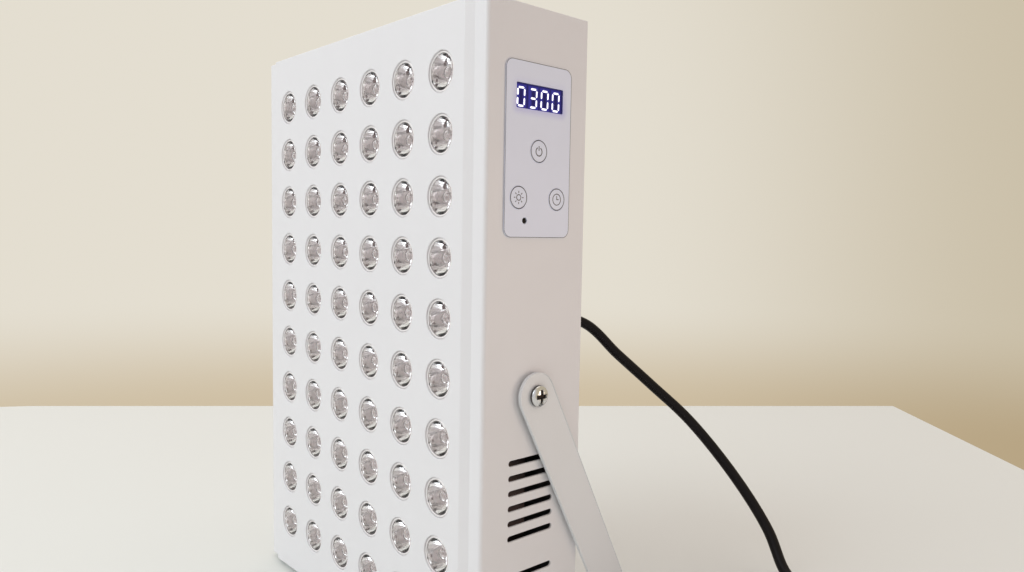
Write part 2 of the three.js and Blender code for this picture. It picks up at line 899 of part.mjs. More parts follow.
function reliefProfile(length) {
  const radiusAt = (share) => reliefBaseRadius + (reliefTipRadius - reliefBaseRadius) * share
  const outline = [[0, 0], [reliefBaseRadius, 0]]
  const bands = 2 * reliefGrooves + 1
  for (let band = 1; band < bands; band += 2) {
    const from = band / bands
    const to = (band + 1) / bands
    outline.push(
      [radiusAt(from), from * length],
      [radiusAt(from) - reliefGrooveDepth, from * length],
      [radiusAt(to) - reliefGrooveDepth, to * length],
      [radiusAt(to), to * length]
    )
  }
  outline.push([reliefTipRadius, length], [0, length])
  return outline
}

// Cord connector

function cordConnector() {
  const insertWidth = inletCavityWidth - 2 * insertFit
  const insertHeight = inletCavityHeight - 2 * insertFit
  const insertEndY = connectorY - insertLength
  const insert = extrude(
    'y',
    roundedRectangle(0, inletZ, insertWidth, insertHeight, insertCorner, 2),
    insertEndY,
    connectorY + connectorCorner
  )
  const body = extrude(
    'y',
    roundedRectangle(0, inletZ, connectorWidth, connectorHeight, connectorCorner, 3),
    connectorY,
    connectorY + connectorLength
  )
  const baseY = connectorY + connectorLength
  const relief = turned(reliefProfile(connectorReliefLength), reliefSides).translate([0, baseY, inletZ])
  const sockets = pinPlaces.map(([x, z]) => block(
    around(x, inletPinWidth + 2 * seatGap),
    [insertEndY - cutOver, insertEndY + socketDepth],
    around(z, inletPinHeight + 2 * seatGap)
  ))
  return join([insert, body, relief]).subtract(join(sockets))
}

add('cord_connector', cordConnector(), looks.cord)

// Stand

const standPlace = (body) => body.rotate([standLean, 0, 0]).translate([0, pivotY, pivotHeight])

function standBracket() {
  const bent = (x, radius, floor, top) => [
    [x, top],
    [-x, top],
    ...arc(-x + radius, floor + radius, radius, Math.PI, 1.5 * Math.PI, bendSides),
    ...arc(x - radius, floor + radius, radius, 1.5 * Math.PI, 2 * Math.PI, bendSides)
  ]
  const ends = around(0, armWidth)
  const top = armWidth / 2
  const outer = extrude('y', bent(armOuterX, standBend, -standReach, top), ...ends)
  const innerBend = bent(armInnerX, standBend - standPlate, standPlate - standReach, top + cutOver)
  const inner = extrude('y', innerBend, ...around(0, armWidth + 2 * cutOver))
  const side = [
    ...arc(0, 0, armWidth / 2, 0, Math.PI, armEndSides),
    [-armFootWidth / 2, -standReach],
    [-armFootWidth / 2, -standReach - cutOver],
    [armFootWidth / 2, -standReach - cutOver],
    [armFootWidth / 2, -standReach]
  ]
  const strap = extrude('x', side, -armOuterX - cutOver, armOuterX + cutOver)
  const holeEnds = [-armOuterX - cutOver, armOuterX + cutOver]
  const hole = rod('x', 0, 0, pivotShankRadius + seatGap, ...holeEnds, screwSides)
  return outer.subtract(inner).intersect(strap).subtract(hole)
}

add('stand_bracket', standPlace(standBracket()), looks.coating)

const padX = armOuterX - padInset - padLength / 2
for (const [place, side] of [['left', -1], ['right', 1]]) {
  const pad = block(
    around(side * padX, padLength),
    around(0, padWidth),
    [-padReach, -standReach - seatGap]
  )
  add(`stand_pad_${place}`, standPlace(pad), looks.rubber)
}

// Pivot screws and washers, built for the right side

function pivotScrew() {
  const head = turned([
    [0, 0],
    [pivotHeadRadius, 0],
    [pivotHeadRadius, pivotHeadEdge],
    [pivotHeadRadius * pivotCrownShare, (pivotHeadEdge + pivotHeadHeight) / 2],
    [pivotHeadRadius * pivotTopShare, pivotHeadHeight],
    [0, pivotHeadHeight]
  ], pivotSides)
  const headAtSide = head.rotate([0, 0, -90]).translate([pivotHeadX, 0, 0])
  const shankEnds = [innerHalfWidth - weldNutLength - pivotShankOver, pivotHeadX + pivotHeadEdge]
  const shank = rod('x', 0, 0, pivotShankRadius, ...shankEnds, screwSides)
  const recessEnds = [pivotHeadX + pivotHeadHeight - recessDepth, pivotHeadX + pivotHeadHeight + cutOver]
  const recess = join([
    block(recessEnds, around(0, recessWidth), around(0, recessLength)),
    block(recessEnds, around(0, recessLength), around(0, recessWidth))
  ])
  return join([headAtSide, shank]).subtract(recess).translate([0, pivotY, pivotHeight])
}

const washer = extrude(
  'x',
  circle(pivotY, pivotHeight, washerRadius, pivotSides),
  washerX,
  washerX + washerThickness,
  [circle(pivotY, pivotHeight, pivotShankRadius + seatGap, screwSides)]
)

add('pivot_screw_right', pivotScrew(), looks.steel)
add('pivot_screw_left', pivotScrew().mirror([1, 0, 0]), looks.steel)
add('pivot_washer_right', washer, looks.nylon)
add('pivot_washer_left', washer.mirror([1, 0, 0]), looks.nylon)

// Feet

const footX = halfWidth - footInsetX
const footY = rearY - footInsetY
const footPlaces = [[-footX, -footY], [footX, -footY], [-footX, footY], [footX, footY]]
footPlaces.forEach(([x, y], i) => {
  add(`foot_${i + 1}`, rod('z', x, y, footRadius, -footHeight, -seatGap, footSides), looks.rubber)
})

// Mains cord: free stretch, then a flat coil that spirals in on one layer and out on the next

const heading = THREE.MathUtils.degToRad(coilHeading)
const along = new THREE.Vector3(Math.cos(heading), Math.sin(heading), 0)
const toCentre = new THREE.Vector3(Math.sin(heading), -Math.cos(heading), 0)
const coilStart = new THREE.Vector3(coilStartX, coilStartY, coilBottomZ)
const coilCentre = coilStart.clone().addScaledVector(toCentre, coilOuterRadius)
const tubeStart = coilStart.clone().addScaledVector(along, -2 * cordRadius)
const cordEnd = tubeStart.clone().addScaledVector(along, -seatGap)
const cordStart = new THREE.Vector3(0, connectorEndY + seatGap, inletZ)

const routePoints = [
  [16.7, 131.1, 150.3],
  [32.9, 146.8, 130.2],
  [49.3, 162.8, 110.2],
  [70.8, 176.6, 88.1],
  [99.5, 186.9, 55.2],
  [121.9, 189.2, 27.4],
  [136.4, 183.7, 8.5],
  [150, 178, 2.7]
]

const cordPath = new THREE.CatmullRomCurve3([
  cordStart,
  cordStart.clone().add(new THREE.Vector3(0, cordStraight, 0)),
  ...routePoints.map((point) => new THREE.Vector3(...point)),
  cordEnd.clone().addScaledVector(along, -cordStraight),
  cordEnd
], false, 'centripetal')

const cordSection = new THREE.Shape(vectors(circle(0, 0, cordRadius, cordSides)))
const cordTube = new THREE.ExtrudeGeometry(cordSection, {
  steps: cordSteps,
  extrudePath: cordPath,
  bevelEnabled: false
})
add('power_cord', solid(cordTube), looks.cord)

const turnsIn = coilTurns / 2
const innerCoilRadius = coilOuterRadius - turnsIn * coilPitch
const startAngle = heading + Math.PI / 2

function coilPoint(turn) {
  const away = Math.abs(turn - turnsIn)
  const radius = innerCoilRadius + coilPitch * away
  const climb = THREE.MathUtils.smoothstep(turn, turnsIn - 1 / 4, turnsIn + 1 / 4)
  const angle = startAngle - 2 * Math.PI * turn
  return new THREE.Vector3(
    coilCentre.x + radius * Math.cos(angle),
    coilCentre.y + radius * Math.sin(angle),
    coilBottomZ + coilRise * climb
  )
}

const coilRings = [tubeStart]
for (let i = 0; i <= coilTurns * coilStepsPerTurn; i++) {
  coilRings.push(coilPoint(i / coilStepsPerTurn))
}
const coilEnd = coilRings[coilRings.length - 1].clone()
const coilTail = coilEnd.clone().addScaledVector(along, plugLead)
coilRings.push(coilTail)

function wound(points, radius, sides) {
  const positions = []
  const index = []
  const up = new THREE.Vector3(0, 0, 1)
  points.forEach((point, i) => {
    const before = points[Math.max(i - 1, 0)]
    const after = points[Math.min(i + 1, points.length - 1)]
    const tangent = i === 1 || i === points.length - 2
      ? along.clone()
      : after.clone().sub(before).normalize()
    const across = up.clone().cross(tangent).normalize()
    const normal = tangent.clone().cross(across)
    for (let k = 0; k < sides; k++) {
      const angle = 2 * Math.PI * k / sides
      const edge = point.clone()
      edge.addScaledVector(across, radius * Math.cos(angle))
      edge.addScaledVector(normal, radius * Math.sin(angle))
      positions.push(edge.x, edge.y, edge.z)
    }
  })
  for (let i = 0; i < points.length - 1; i++) {
    for (let k = 0; k < sides; k++) {
      const a = i * sides + k
      const b = i * sides + (k + 1) % sides
      index.push(a, b, b + sides, a, b + sides, a + sides)
    }
  }
  const last = (points.length - 1) * sides
  for (let k = 1; k < sides - 1; k++) {
    index.push(0, k + 1, k, last, last + k, last + k + 1)
  }
  const geometry = new THREE.BufferGeometry()
  geometry.setAttribute('position', new THREE.Float32BufferAttribute(positions, 3))
  geometry.setIndex(index)
  return solid(geometry)
}

add('cord_coil', wound(coilRings, cordRadius, coilSides), looks.cord)

// Least gap of the coil to itself, measured on points of its centre line

const samplesPerTurn = 120
const samples = []
for (let i = 0; i <= coilTurns * samplesPerTurn; i++) {
  samples.push(coilPoint(i / samplesPerTurn))
}
let least = Infinity
for (let i = 0; i < samples.length; i++) {
  for (let j = i + samplesPerTurn / 2; j < samples.length; j++) {
    least = Math.min(least, samples[i].distanceTo(samples[j]))
  }
}
let coilLength = 0
for (let i = 1; i < coilRings.length; i++) {
  coilLength += coilRings[i].distanceTo(coilRings[i - 1])
}
const cordLength = cordPath.getLength() + coilLength
console.log(`coil: least gap to itself ${(least - 2 * cordRadius).toFixed(2)} mm`)
console.log(`cord: ${cordLength.toFixed(0)} mm in all, ${coilLength.toFixed(0)} mm of it in the coil`)

// Tie round the coil, opposite the place where the cord comes in

const tieInner = innerCoilRadius + coilPitch / 2 - cordRadius - seatGap - tieRoom
const tieOuter = coilOuterRadius - coilPitch / 2 + cordRadius + seatGap
const tieBottom = coilBottomZ - cordRadius - seatGap
const tieTop = coilTopZ + cordRadius + seatGap
const tieMiddle = [(tieInner + tieOuter) / 2, (tieBottom + tieTop) / 2]
const tieHollow = [tieOuter - tieInner, tieTop - tieBottom]
const tieOutside = tieHollow.map((size) => size + 2 * tieThickness)
const tieStrap = extrude(
  'y',
  roundedRectangle(...tieMiddle, ...tieOutside, tieCorner + tieThickness, 2),
  ...around(0, tieWidth),
  [roundedRectangle(...tieMiddle, ...tieHollow, tieCorner, 2)]
)
const tieTurned = tieStrap.rotate([0, 0, coilHeading - 90])
add('cord_tie', tieTurned.translate([coilCentre.x, coilCentre.y, 0]), looks.rubber)

// Mains plug, built along X from the strain relief's tip

const plugPlace = (body) => {
  const tip = coilTail.clone().addScaledVector(along, seatGap)
  return body.rotate([0, 0, coilHeading]).translate([tip.x, tip.y, coilTopZ])
}
const plugFace = plugReliefLength + plugLength
const groundZ = plugBladeRise - groundPinDrop

function powerPlug() {
  const body = extrude(
    'x',
    roundedRectangle(0, 0, plugWidth, 2 * plugHalfHeight, plugCorner, 3),
    plugReliefLength,
    plugFace
  )
  const relief = turned(reliefProfile(plugReliefLength), reliefSides)
    .rotate([0, 0, 90])
    .translate([plugReliefLength, 0, 0])
  const pocketEnds = [plugFace - plugPocketDepth, plugFace + cutOver]
  const pockets = [-1, 1].map((side) => block(
    pocketEnds,
    around(side * bladeSpacing / 2, plugBladeThickness + 2 * seatGap),
    around(plugBladeRise, plugBladeWidth + 2 * seatGap)
  ))
  const pinPocket = rod('x', 0, groundZ, groundPinRadius + seatGap, ...pocketEnds, groundPinSides)
  return join([body, relief]).subtract(join([...pockets, pinPocket]))
}

add('power_plug', plugPlace(powerPlug()), looks.cord)

const pinStart = plugFace - plugPocketDepth + seatGap
for (const [place, side] of [['left', -1], ['right', 1]]) {
  const blade = block(
    [pinStart, plugFace + plugBladeLength],
    around(side * bladeSpacing / 2, plugBladeThickness),
    around(plugBladeRise, plugBladeWidth)
  )
  add(`plug_blade_${place}`, plugPlace(blade), looks.brass)
}
const groundPin = rod('x', 0, groundZ, groundPinRadius, pinStart, plugFace + groundPinLength, groundPinSides)
add('plug_ground_pin', plugPlace(groundPin), looks.brass)

export default part
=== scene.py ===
import math

import bmesh
import bpy
import numpy as np
from mathutils import Matrix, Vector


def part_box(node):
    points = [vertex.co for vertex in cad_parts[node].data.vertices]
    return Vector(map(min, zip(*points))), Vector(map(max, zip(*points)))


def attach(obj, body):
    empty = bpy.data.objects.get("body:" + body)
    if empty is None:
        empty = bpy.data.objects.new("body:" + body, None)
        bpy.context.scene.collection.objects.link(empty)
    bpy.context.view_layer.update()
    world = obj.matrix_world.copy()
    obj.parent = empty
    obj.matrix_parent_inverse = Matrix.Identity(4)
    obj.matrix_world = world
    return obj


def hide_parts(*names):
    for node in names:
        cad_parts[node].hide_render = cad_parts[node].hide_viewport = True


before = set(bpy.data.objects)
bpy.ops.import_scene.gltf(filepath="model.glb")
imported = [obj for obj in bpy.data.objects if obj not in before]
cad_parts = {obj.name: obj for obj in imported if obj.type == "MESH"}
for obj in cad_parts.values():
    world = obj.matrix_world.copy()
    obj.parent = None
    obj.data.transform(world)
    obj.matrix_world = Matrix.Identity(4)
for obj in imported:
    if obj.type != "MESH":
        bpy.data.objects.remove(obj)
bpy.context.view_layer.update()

# Lengths are in millimetres, from the housing's middle and its lower edge.
# X runs to the right, Y to the back and Z up, as in the part's source.

shell_low, shell_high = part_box("front_shell")
MIDDLE_Y = (shell_low.y + shell_high.y) / 2
FOOT = shell_low.z

HALF_WIDTH, FRONT_Y, REAR_Y, HEIGHT, SHEET = 104.5, -32.25, 32.25, 310.0, 1.2
FIELD, STEP_RUN, STEP_DEPTH, BEND = 91.7, 4.6, 2.35, 2.0
GAP, FOOT_HEIGHT = 0.25, 2.5
INLET_Z = 158.0
FAN_HEIGHTS = {"lower": INLET_Z - 81, "upper": INLET_Z + 81}
FILM_Y, FILM_Z, FILM_FACE, FILM_WIDE, FILM_HIGH, FILM_CORNER = 0.9, 246.05, 105.15, 40.9, 77.9, 4
KEYS = {"power": (FILM_Y, FILM_Z), "mode": (-11.1, 224.85), "time": (12.9, 224.85)}
SENSOR = (-7.2, 214.65)
WINDOW, WINDOW_CORE = (1.3, 269.75), (14.05, 5.05)
DIGITS_Z, DIGIT_HALF = WINDOW[1] - 0.65, (2.1, 4.3)
DIGIT_Y = (-11.9, -4.5, 2.6, 9.7)
COLUMN_PITCH, ROW_PITCH, BOARD_DEPTH = 30, 28, 13
COLUMN_X = [-75 + COLUMN_PITCH * i for i in range(6)]
ROW_Z = [281 - ROW_PITCH * i for i in range(10)]
SLOT_PITCH, SLOT_Y, SLOT_CORE, SLOT_RADIUS = 7.05, 0.5, 12.8, 1.4
SLOT_Z = [15.2 + SLOT_PITCH * i + 53.8 * group for group in range(2) for i in range(6)]
PIVOT_Y, PIVOT_Z = 0.7, 134.5
LEAN = math.radians(27.6)
ARM_INNER, PLATE = 106.0, 2.0
BOLT_SEAT, BOLT_RADIUS, BOLT_HEIGHT = ARM_INNER + PLATE + GAP, 5.1, 2.6


# Camera

camera = bpy.data.objects.new("camera", bpy.data.cameras.new("camera"))
bpy.context.collection.objects.link(camera)
camera.data.sensor_width = 36
camera.data.lens = 26.8524
camera.data.clip_start, camera.data.clip_end = 0.01, 50
camera.matrix_world = Matrix((
    (0.6718115, -0.063449, 0.7379997, 0.355909),
    (0.7405306, 0.0348745, -0.6711171, -0.265163),
    (0.0168443, 0.9973756, 0.0704150, 0.211969),
    (0, 0, 0, 1),
))
bpy.context.scene.camera = camera


# Surfaces

X, Y, Z = 0, 1, 2
# Each set of axes names the directions of a form's first, second and third coordinates.
ALONG_X = ((0, 1, 0), (0, 0, 1), (1, 0, 0))
BACK_X = ((0, 1, 0), (0, 0, 1), (-1, 0, 0))
ALONG_Y = ((1, 0, 0), (0, 0, 1), (0, 1, 0))
ALONG_Z = ((1, 0, 0), (0, 1, 0), (0, 0, 1))


def circle(radius, sides):
    """Points on a circle: radius times the cosine and the sine of evenly spaced angles."""
    angle = np.linspace(0, 2 * math.pi, sides, endpoint=False)
    return np.stack([radius * np.cos(angle), radius * np.sin(angle)], -1)


def lifted(flat, axis, level):
    """Flat points with a level put in as their coordinate on an axis."""
    return np.insert(np.asarray(flat, float), axis, level, 1)


def rings_of(radii, heights, sides):
    """Rings of points round an axis: each radius times a circle's points, at its height."""
    flat = np.asarray(radii, float)[:, None, None] * circle(1, sides)
    rise = np.broadcast_to(np.asarray(heights, float)[:, None, None], flat.shape[:2] + (1,))
    return np.concatenate([flat, rise], -1)


def eased(points, radius, steps=4):
    """A polyline whose inner corners are quadratic curves, each from and to one radius off its corner."""
    points = np.asarray(points, float)
    before, corner, after = points[:-2], points[1:-1], points[2:]
    back, on = before - corner, after - corner
    reach_back, reach_on = np.linalg.norm(back, axis=1), np.linalg.norm(on, axis=1)
    start = corner + back * (np.minimum(radius, reach_back / 2) / reach_back)[:, None]
    end = corner + on * (np.minimum(radius, reach_on / 2) / reach_on)[:, None]
    t = np.linspace(0, 1, steps + 1)[None, :, None]
    curve = (1 - t) ** 2 * start[:, None] + 2 * t * (1 - t) * corner[:, None] + t ** 2 * end[:, None]
    return np.vstack([points[:1], curve.reshape(-1, 2), points[-1:]])


def rounded_rectangle(width, height, radius, steps=6):
    """A rectangle's outline with quarter circles at its corners."""
    angle = np.linspace(0, math.pi / 2, steps + 1)
    turns = angle[None, :] + np.arange(4)[:, None] * math.pi / 2
    sign = np.array([[1, 1], [-1, 1], [-1, -1], [1, -1]])
    centre = sign * (np.array([width, height]) / 2 - radius)
    points = centre[:, None, :] + radius * np.stack([np.cos(turns), np.sin(turns)], -1)
    return points.reshape(-1, 2)


class Form:
    """Gathers grids of points and their faces. A seat moves points of its own axes into place."""

    def __init__(self, seat=None):
        self.points, self.faces, self.count, self.seat = [], [], 0, seat

    def put(self, points):
        points = np.asarray(points, float).reshape(-1, 3)
        if self.seat is not None:
            points = self.seat(points)
        start = self.count
        self.points.append(points)
        self.count += len(points)
        return start

    def grid(self, points, round_first=False, round_second=False, keep=None):
        """Four-sided faces between neighbours on a grid; a round side joins its end to its start."""
        rows, columns = points.shape[:2]
        index = self.put(points) + np.arange(rows * columns).reshape(rows, columns)
        if round_first:
            index = np.vstack([index, index[:1]])
        if round_second:
            index = np.hstack([index, index[:, :1]])
        quads = np.stack([index[:-1, :-1], index[1:, :-1], index[1:, 1:], index[:-1, 1:]], -1)
        quads = quads.reshape(-1, 4) if keep is None else quads[keep]
        self.faces.extend(quads.tolist())

    def cap(self, ring):
        """One face on a whole ring of points."""
        start = self.put(ring)
        self.faces.append(list(range(start, start + len(ring))))

    def wound(self, local, centre, axes):
        """A grid closed round its second side, moved from an axis's own coordinates to its place."""
        self.grid(np.asarray(centre, float) + local @ np.asarray(axes, float), round_second=True)

    def turned(self, profile, centre, axes, sides=48):
        """A profile of radius and height carried round an axis: radius times cosine and sine across it."""
        profile = np.asarray(profile, float)
        self.wound(rings_of(profile[:, 0], profile[:, 1], sides), centre, axes)

    def loft(self, sections, centre, axes, steps=6):
        """Rounded rectangles along an axis, each given by its height, width, depth and corner radius."""
        rings = [lifted(rounded_rectangle(w, d, r, steps), Z, h) for h, w, d, r in sections]
        ends = [ring * (0, 0, 1) for ring in (rings[0], rings[-1])]
        self.wound(np.stack([ends[0], *rings, ends[1]]), centre, axes)

    def block(self, low, high, edge=0.3):
        """A box with eased edges, as a loft of rounded rectangles along Z that draws in at both ends."""
        low, high = np.asarray(low, float), np.asarray(high, float)
        size, middle = high - low, (low + high) / 2
        turn = np.linspace(0, math.pi / 2, 4)
        draw, rise = edge * (1 - np.sin(turn)), edge * (1 - np.cos(turn))
        ends = [(r, size[0] - 2 * d, size[1] - 2 * d, edge) for d, r in zip(draw, rise)]
        sections = [(h - size[2] / 2, w, d, r) for h, w, d, r in ends]
        sections += [(size[2] / 2 - h, w, d, r) for h, w, d, r in reversed(ends)]
        self.loft(sections, middle, ALONG_Z, 3)

    def sweep(self, path, section, up, closed=False):
        """A section carried along a path: across is up times the direction, the normal stands on both."""
        path = np.asarray(path, float)
        if closed:
            direction = np.roll(path, -1, 0) - np.roll(path, 1, 0)
        else:
            direction = np.gradient(path, axis=0)
        direction /= np.linalg.norm(direction, axis=1)[:, None]
        across = np.cross(np.asarray(up, float), direction)
        across /= np.linalg.norm(across, axis=1)[:, None]
        normal = np.cross(direction, across)
        section = np.broadcast_to(section, (len(path),) + np.shape(section)[-2:])
        points = path[:, None] + section[..., :1] * across[:, None] + section[..., 1:] * normal[:, None]
        if not closed:
            first, last = (end.repeat(points.shape[1], 1) for end in (path[:1, None], path[-1:, None]))
            points = np.concatenate([first, points, last])
        self.grid(points, round_first=closed, round_second=True)

    def tube(self, path, radius, up, sides=12, closed=False):
        """A round tube along a path."""
        self.sweep(path, circle(radius, sides), up, closed)

    def openings(self, cells, us, vs, skin, thickness, rim):
        """The sheet round each opening. A point of the cell's edge is drawn towards the nearest point of the
        opening's core and stops one radius short of it, rolls over the rim and runs through the sheet. Each
        cell gives its limits in u and v, the opening's centre, half the size of its core, and its radius."""
        for u0, u1, v0, v1, centre, core, radius in cells:
            u = us[(us > u0 - 1e-6) & (us < u1 + 1e-6)]
            v = vs[(vs > v0 - 1e-6) & (vs < v1 + 1e-6)]
            edge = border(u, v)
            away = edge - centre
            nearest = np.clip(away, -np.array(core), core)
            ray = away - nearest
            ray /= np.linalg.norm(ray, axis=1)[:, None]
            turn = np.linspace(0, math.pi / 2, 4)
            reach = radius + np.concatenate([[rim + 0.15], rim * (1 - np.sin(turn)), [0, rim, rim + 0.15]])
            depth = np.concatenate([[0], rim * (1 - np.cos(turn)), [thickness - rim, thickness, thickness]])
            flat = centre + nearest + ray * reach[:, None, None]
            flat = np.concatenate([edge[None], flat, edge[None]])
            depth = np.concatenate([[0], depth, [thickness]])
            depth = np.broadcast_to(depth[:, None], flat.shape[:2])
            self.grid(skin(flat[..., 0], flat[..., 1], depth), round_second=True)

    def panel(self, us, vs, cells, skin, thickness, rim, inner_vs=None):
        """A flat sheet on grid lines, outer and inner skin, left out where a cell holds an opening."""
        for rows, depth in ((vs, 0.0), (vs if inner_vs is None else inner_vs, thickness)):
            u, v = np.meshgrid(us, rows, indexing="ij")
            middle_u, middle_v = (us[1:] + us[:-1]) / 2, (rows[1:] + rows[:-1]) / 2
            keep = np.ones((len(middle_u), len(middle_v)), bool)
            for u0, u1, v0, v1, *_ in cells:
                inside_u = (middle_u > u0) & (middle_u < u1)
                inside_v = (middle_v > v0) & (middle_v < v1)
                keep &= ~(inside_u[:, None] & inside_v[None, :])
            self.grid(skin(u, v, np.full(u.shape, depth)), keep=keep)
        self.openings(cells, us, vs, skin, thickness, rim)

    def plate(self, width, height, middle, corner, cells, skin, thickness, rim, spacing):
        """A flat sheet with round corners, openings and outer walls. Near a corner a point's distance from
        the corner's centre becomes the larger of its two offsets: the square turns into a quarter disc."""
        middle = np.asarray(middle, float)
        half = np.array([width, height]) / 2

        def shape(points):
            away = points - middle
            past = np.abs(away) - (half - corner)
            both = (past > 0).all(-1, keepdims=True)
            size = np.linalg.norm(past, axis=-1, keepdims=True)
            drawn = past * past.max(-1, keepdims=True) / np.maximum(size, 1e-9)
            return np.where(both, middle + np.sign(away) * (half - corner + drawn), points)

        def placed(u, v, depth):
            flat = shape(np.stack([u, v], -1))
            return skin(flat[..., 0], flat[..., 1], depth)

        low, high = middle - half, middle + half
        ends = [[low[i], low[i] + corner, high[i] - corner, high[i]] for i in (0, 1)]
        edges_u = ends[0] + [value for cell in cells for value in cell[:2]]
        edges_v = ends[1] + [value for cell in cells for value in cell[2:4]]
        us = lines(edges_u, np.arange(low[0], high[0], spacing), 0.3)
        vs = lines(edges_v, np.arange(low[1], high[1], spacing), 0.3)
        self.panel(us, vs, cells, placed, thickness, rim)
        outline = border(us, vs)
        ring = np.broadcast_to(outline, (2,) + outline.shape)
        depth = np.broadcast_to(np.array([[0.0], [thickness]]), ring.shape[:2])
        self.grid(placed(ring[..., 0], ring[..., 1], depth), round_second=True)

    def piece(self, name, body, finish, slot, stands_for=(), sharp=35):
        """Makes the mesh in metres in the part's frame, joins its seams and turns its faces outwards."""
        points = (np.concatenate(self.points) / 1000) + (0, MIDDLE_Y, FOOT)
        mesh = bpy.data.meshes.new(name)
        mesh.from_pydata(points.tolist(), [], self.faces)
        work = bmesh.new()
        work.from_mesh(mesh)
        bmesh.ops.remove_doubles(work, verts=work.verts, dist=2e-6)
        bmesh.ops.recalc_face_normals(work, faces=work.faces)
        work.to_mesh(mesh)
        work.free()
        mesh.shade_smooth()
        mesh.set_sharp_from_angle(angle=math.radians(sharp))
        mesh.materials.append(finish.material)
        piece = bpy.data.objects.new(name, mesh)
        bpy.context.collection.objects.link(piece)
        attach(piece, body)
        if stands_for:
            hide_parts(*stands_for)
        return piece


def lines(edges, between, least):
    """Sorted grid lines: every edge, and of the lines between those at least so far from the others."""
    kept = sorted(set(np.round(edges, 4)))
    for value in np.round(between, 4):
        if np.min(np.abs(np.array(kept) - value)) > least:
            kept.append(value)
    return np.array(sorted(kept))


def border(us, vs):
    """The points of two sets of grid lines on their rectangle's edge, once round."""
    return np.concatenate([
        np.column_stack([us[:-1], np.full(len(us) - 1, vs[0])]),
        np.column_stack([np.full(len(vs) - 1, us[-1]), vs[:-1]]),
        np.column_stack([us[:0:-1], np.full(len(us) - 1, vs[-1])]),
        np.column_stack([np.full(len(vs) - 1, us[0]), vs[:0:-1]]),
    ])


ROUND = (0, 0)


def cell(centre, half_u, half_v, core, radius):
    """An opening's cell, evenly round the opening's centre. A round opening has a core without size."""
    u, v = centre
    return (u - half_u, u + half_u, v - half_v, v + half_v, centre, core, radius)


def plane(axis, level, inwards):
    """A sheet's skin across an axis: u and v stay as they are, and depth goes inwards from the level."""
    def skin(u, v, depth):
        places = [u, v]
        places.insert(axis, level + inwards * depth)
        return np.stack(places, -1)
    return skin


# Finishes

def add_node(tree, kind, settings=None, inputs=None):
    """Any node of a tree: its settings first, then the values or links of its sockets."""
    node = tree.nodes.new(kind)
    for key, value in (settings or {}).items():
        setattr(node, key, value)
    for key, value in (inputs or {}).items():
        value = value.socket if isinstance(value, Number) else value
        if isinstance(value, bpy.types.NodeSocket):
            tree.links.new(value, node.inputs[key])
        else:
            node.inputs[key].default_value = value
    return node


def smooth_step(tree, value, low, high):
    """Rises smoothly from 0 to 1 as the value goes from low to high."""
    settings = {"interpolation_type": "SMOOTHSTEP"}
    return add_node(tree, "ShaderNodeMapRange", settings, {0: value, 1: low, 2: high}).outputs[0]


def mix(tree, factor, first, second, way="MIX"):
    """Mixes two colours, each a socket or a value, by a number."""
    colours = [c if isinstance(c, bpy.types.NodeSocket) else (*c[:3], 1) for c in (first, second)]
    settings = {"data_type": "RGBA", "blend_type": way}
    return add_node(tree, "ShaderNodeMix", settings, {0: factor, 6: colours[0], 7: colours[1]}).outputs[2]


class Number:
    """A shader socket that carries one number. Arithmetic on it adds Math nodes."""

    def __init__(self, finish, socket):
        self.finish, self.socket = finish, socket

    def __add__(self, other):
        return self.finish.math("ADD", self, other)

    def __sub__(self, other):
        return self.finish.math("SUBTRACT", self, other)

    def __rsub__(self, other):
        return self.finish.math("SUBTRACT", other, self)

    def __mul__(self, other):
        return self.finish.math("MULTIPLY", self, other)

    def __truediv__(self, other):
        return self.finish.math("DIVIDE", self, other)

    __radd__ = __add__
    __rmul__ = __mul__


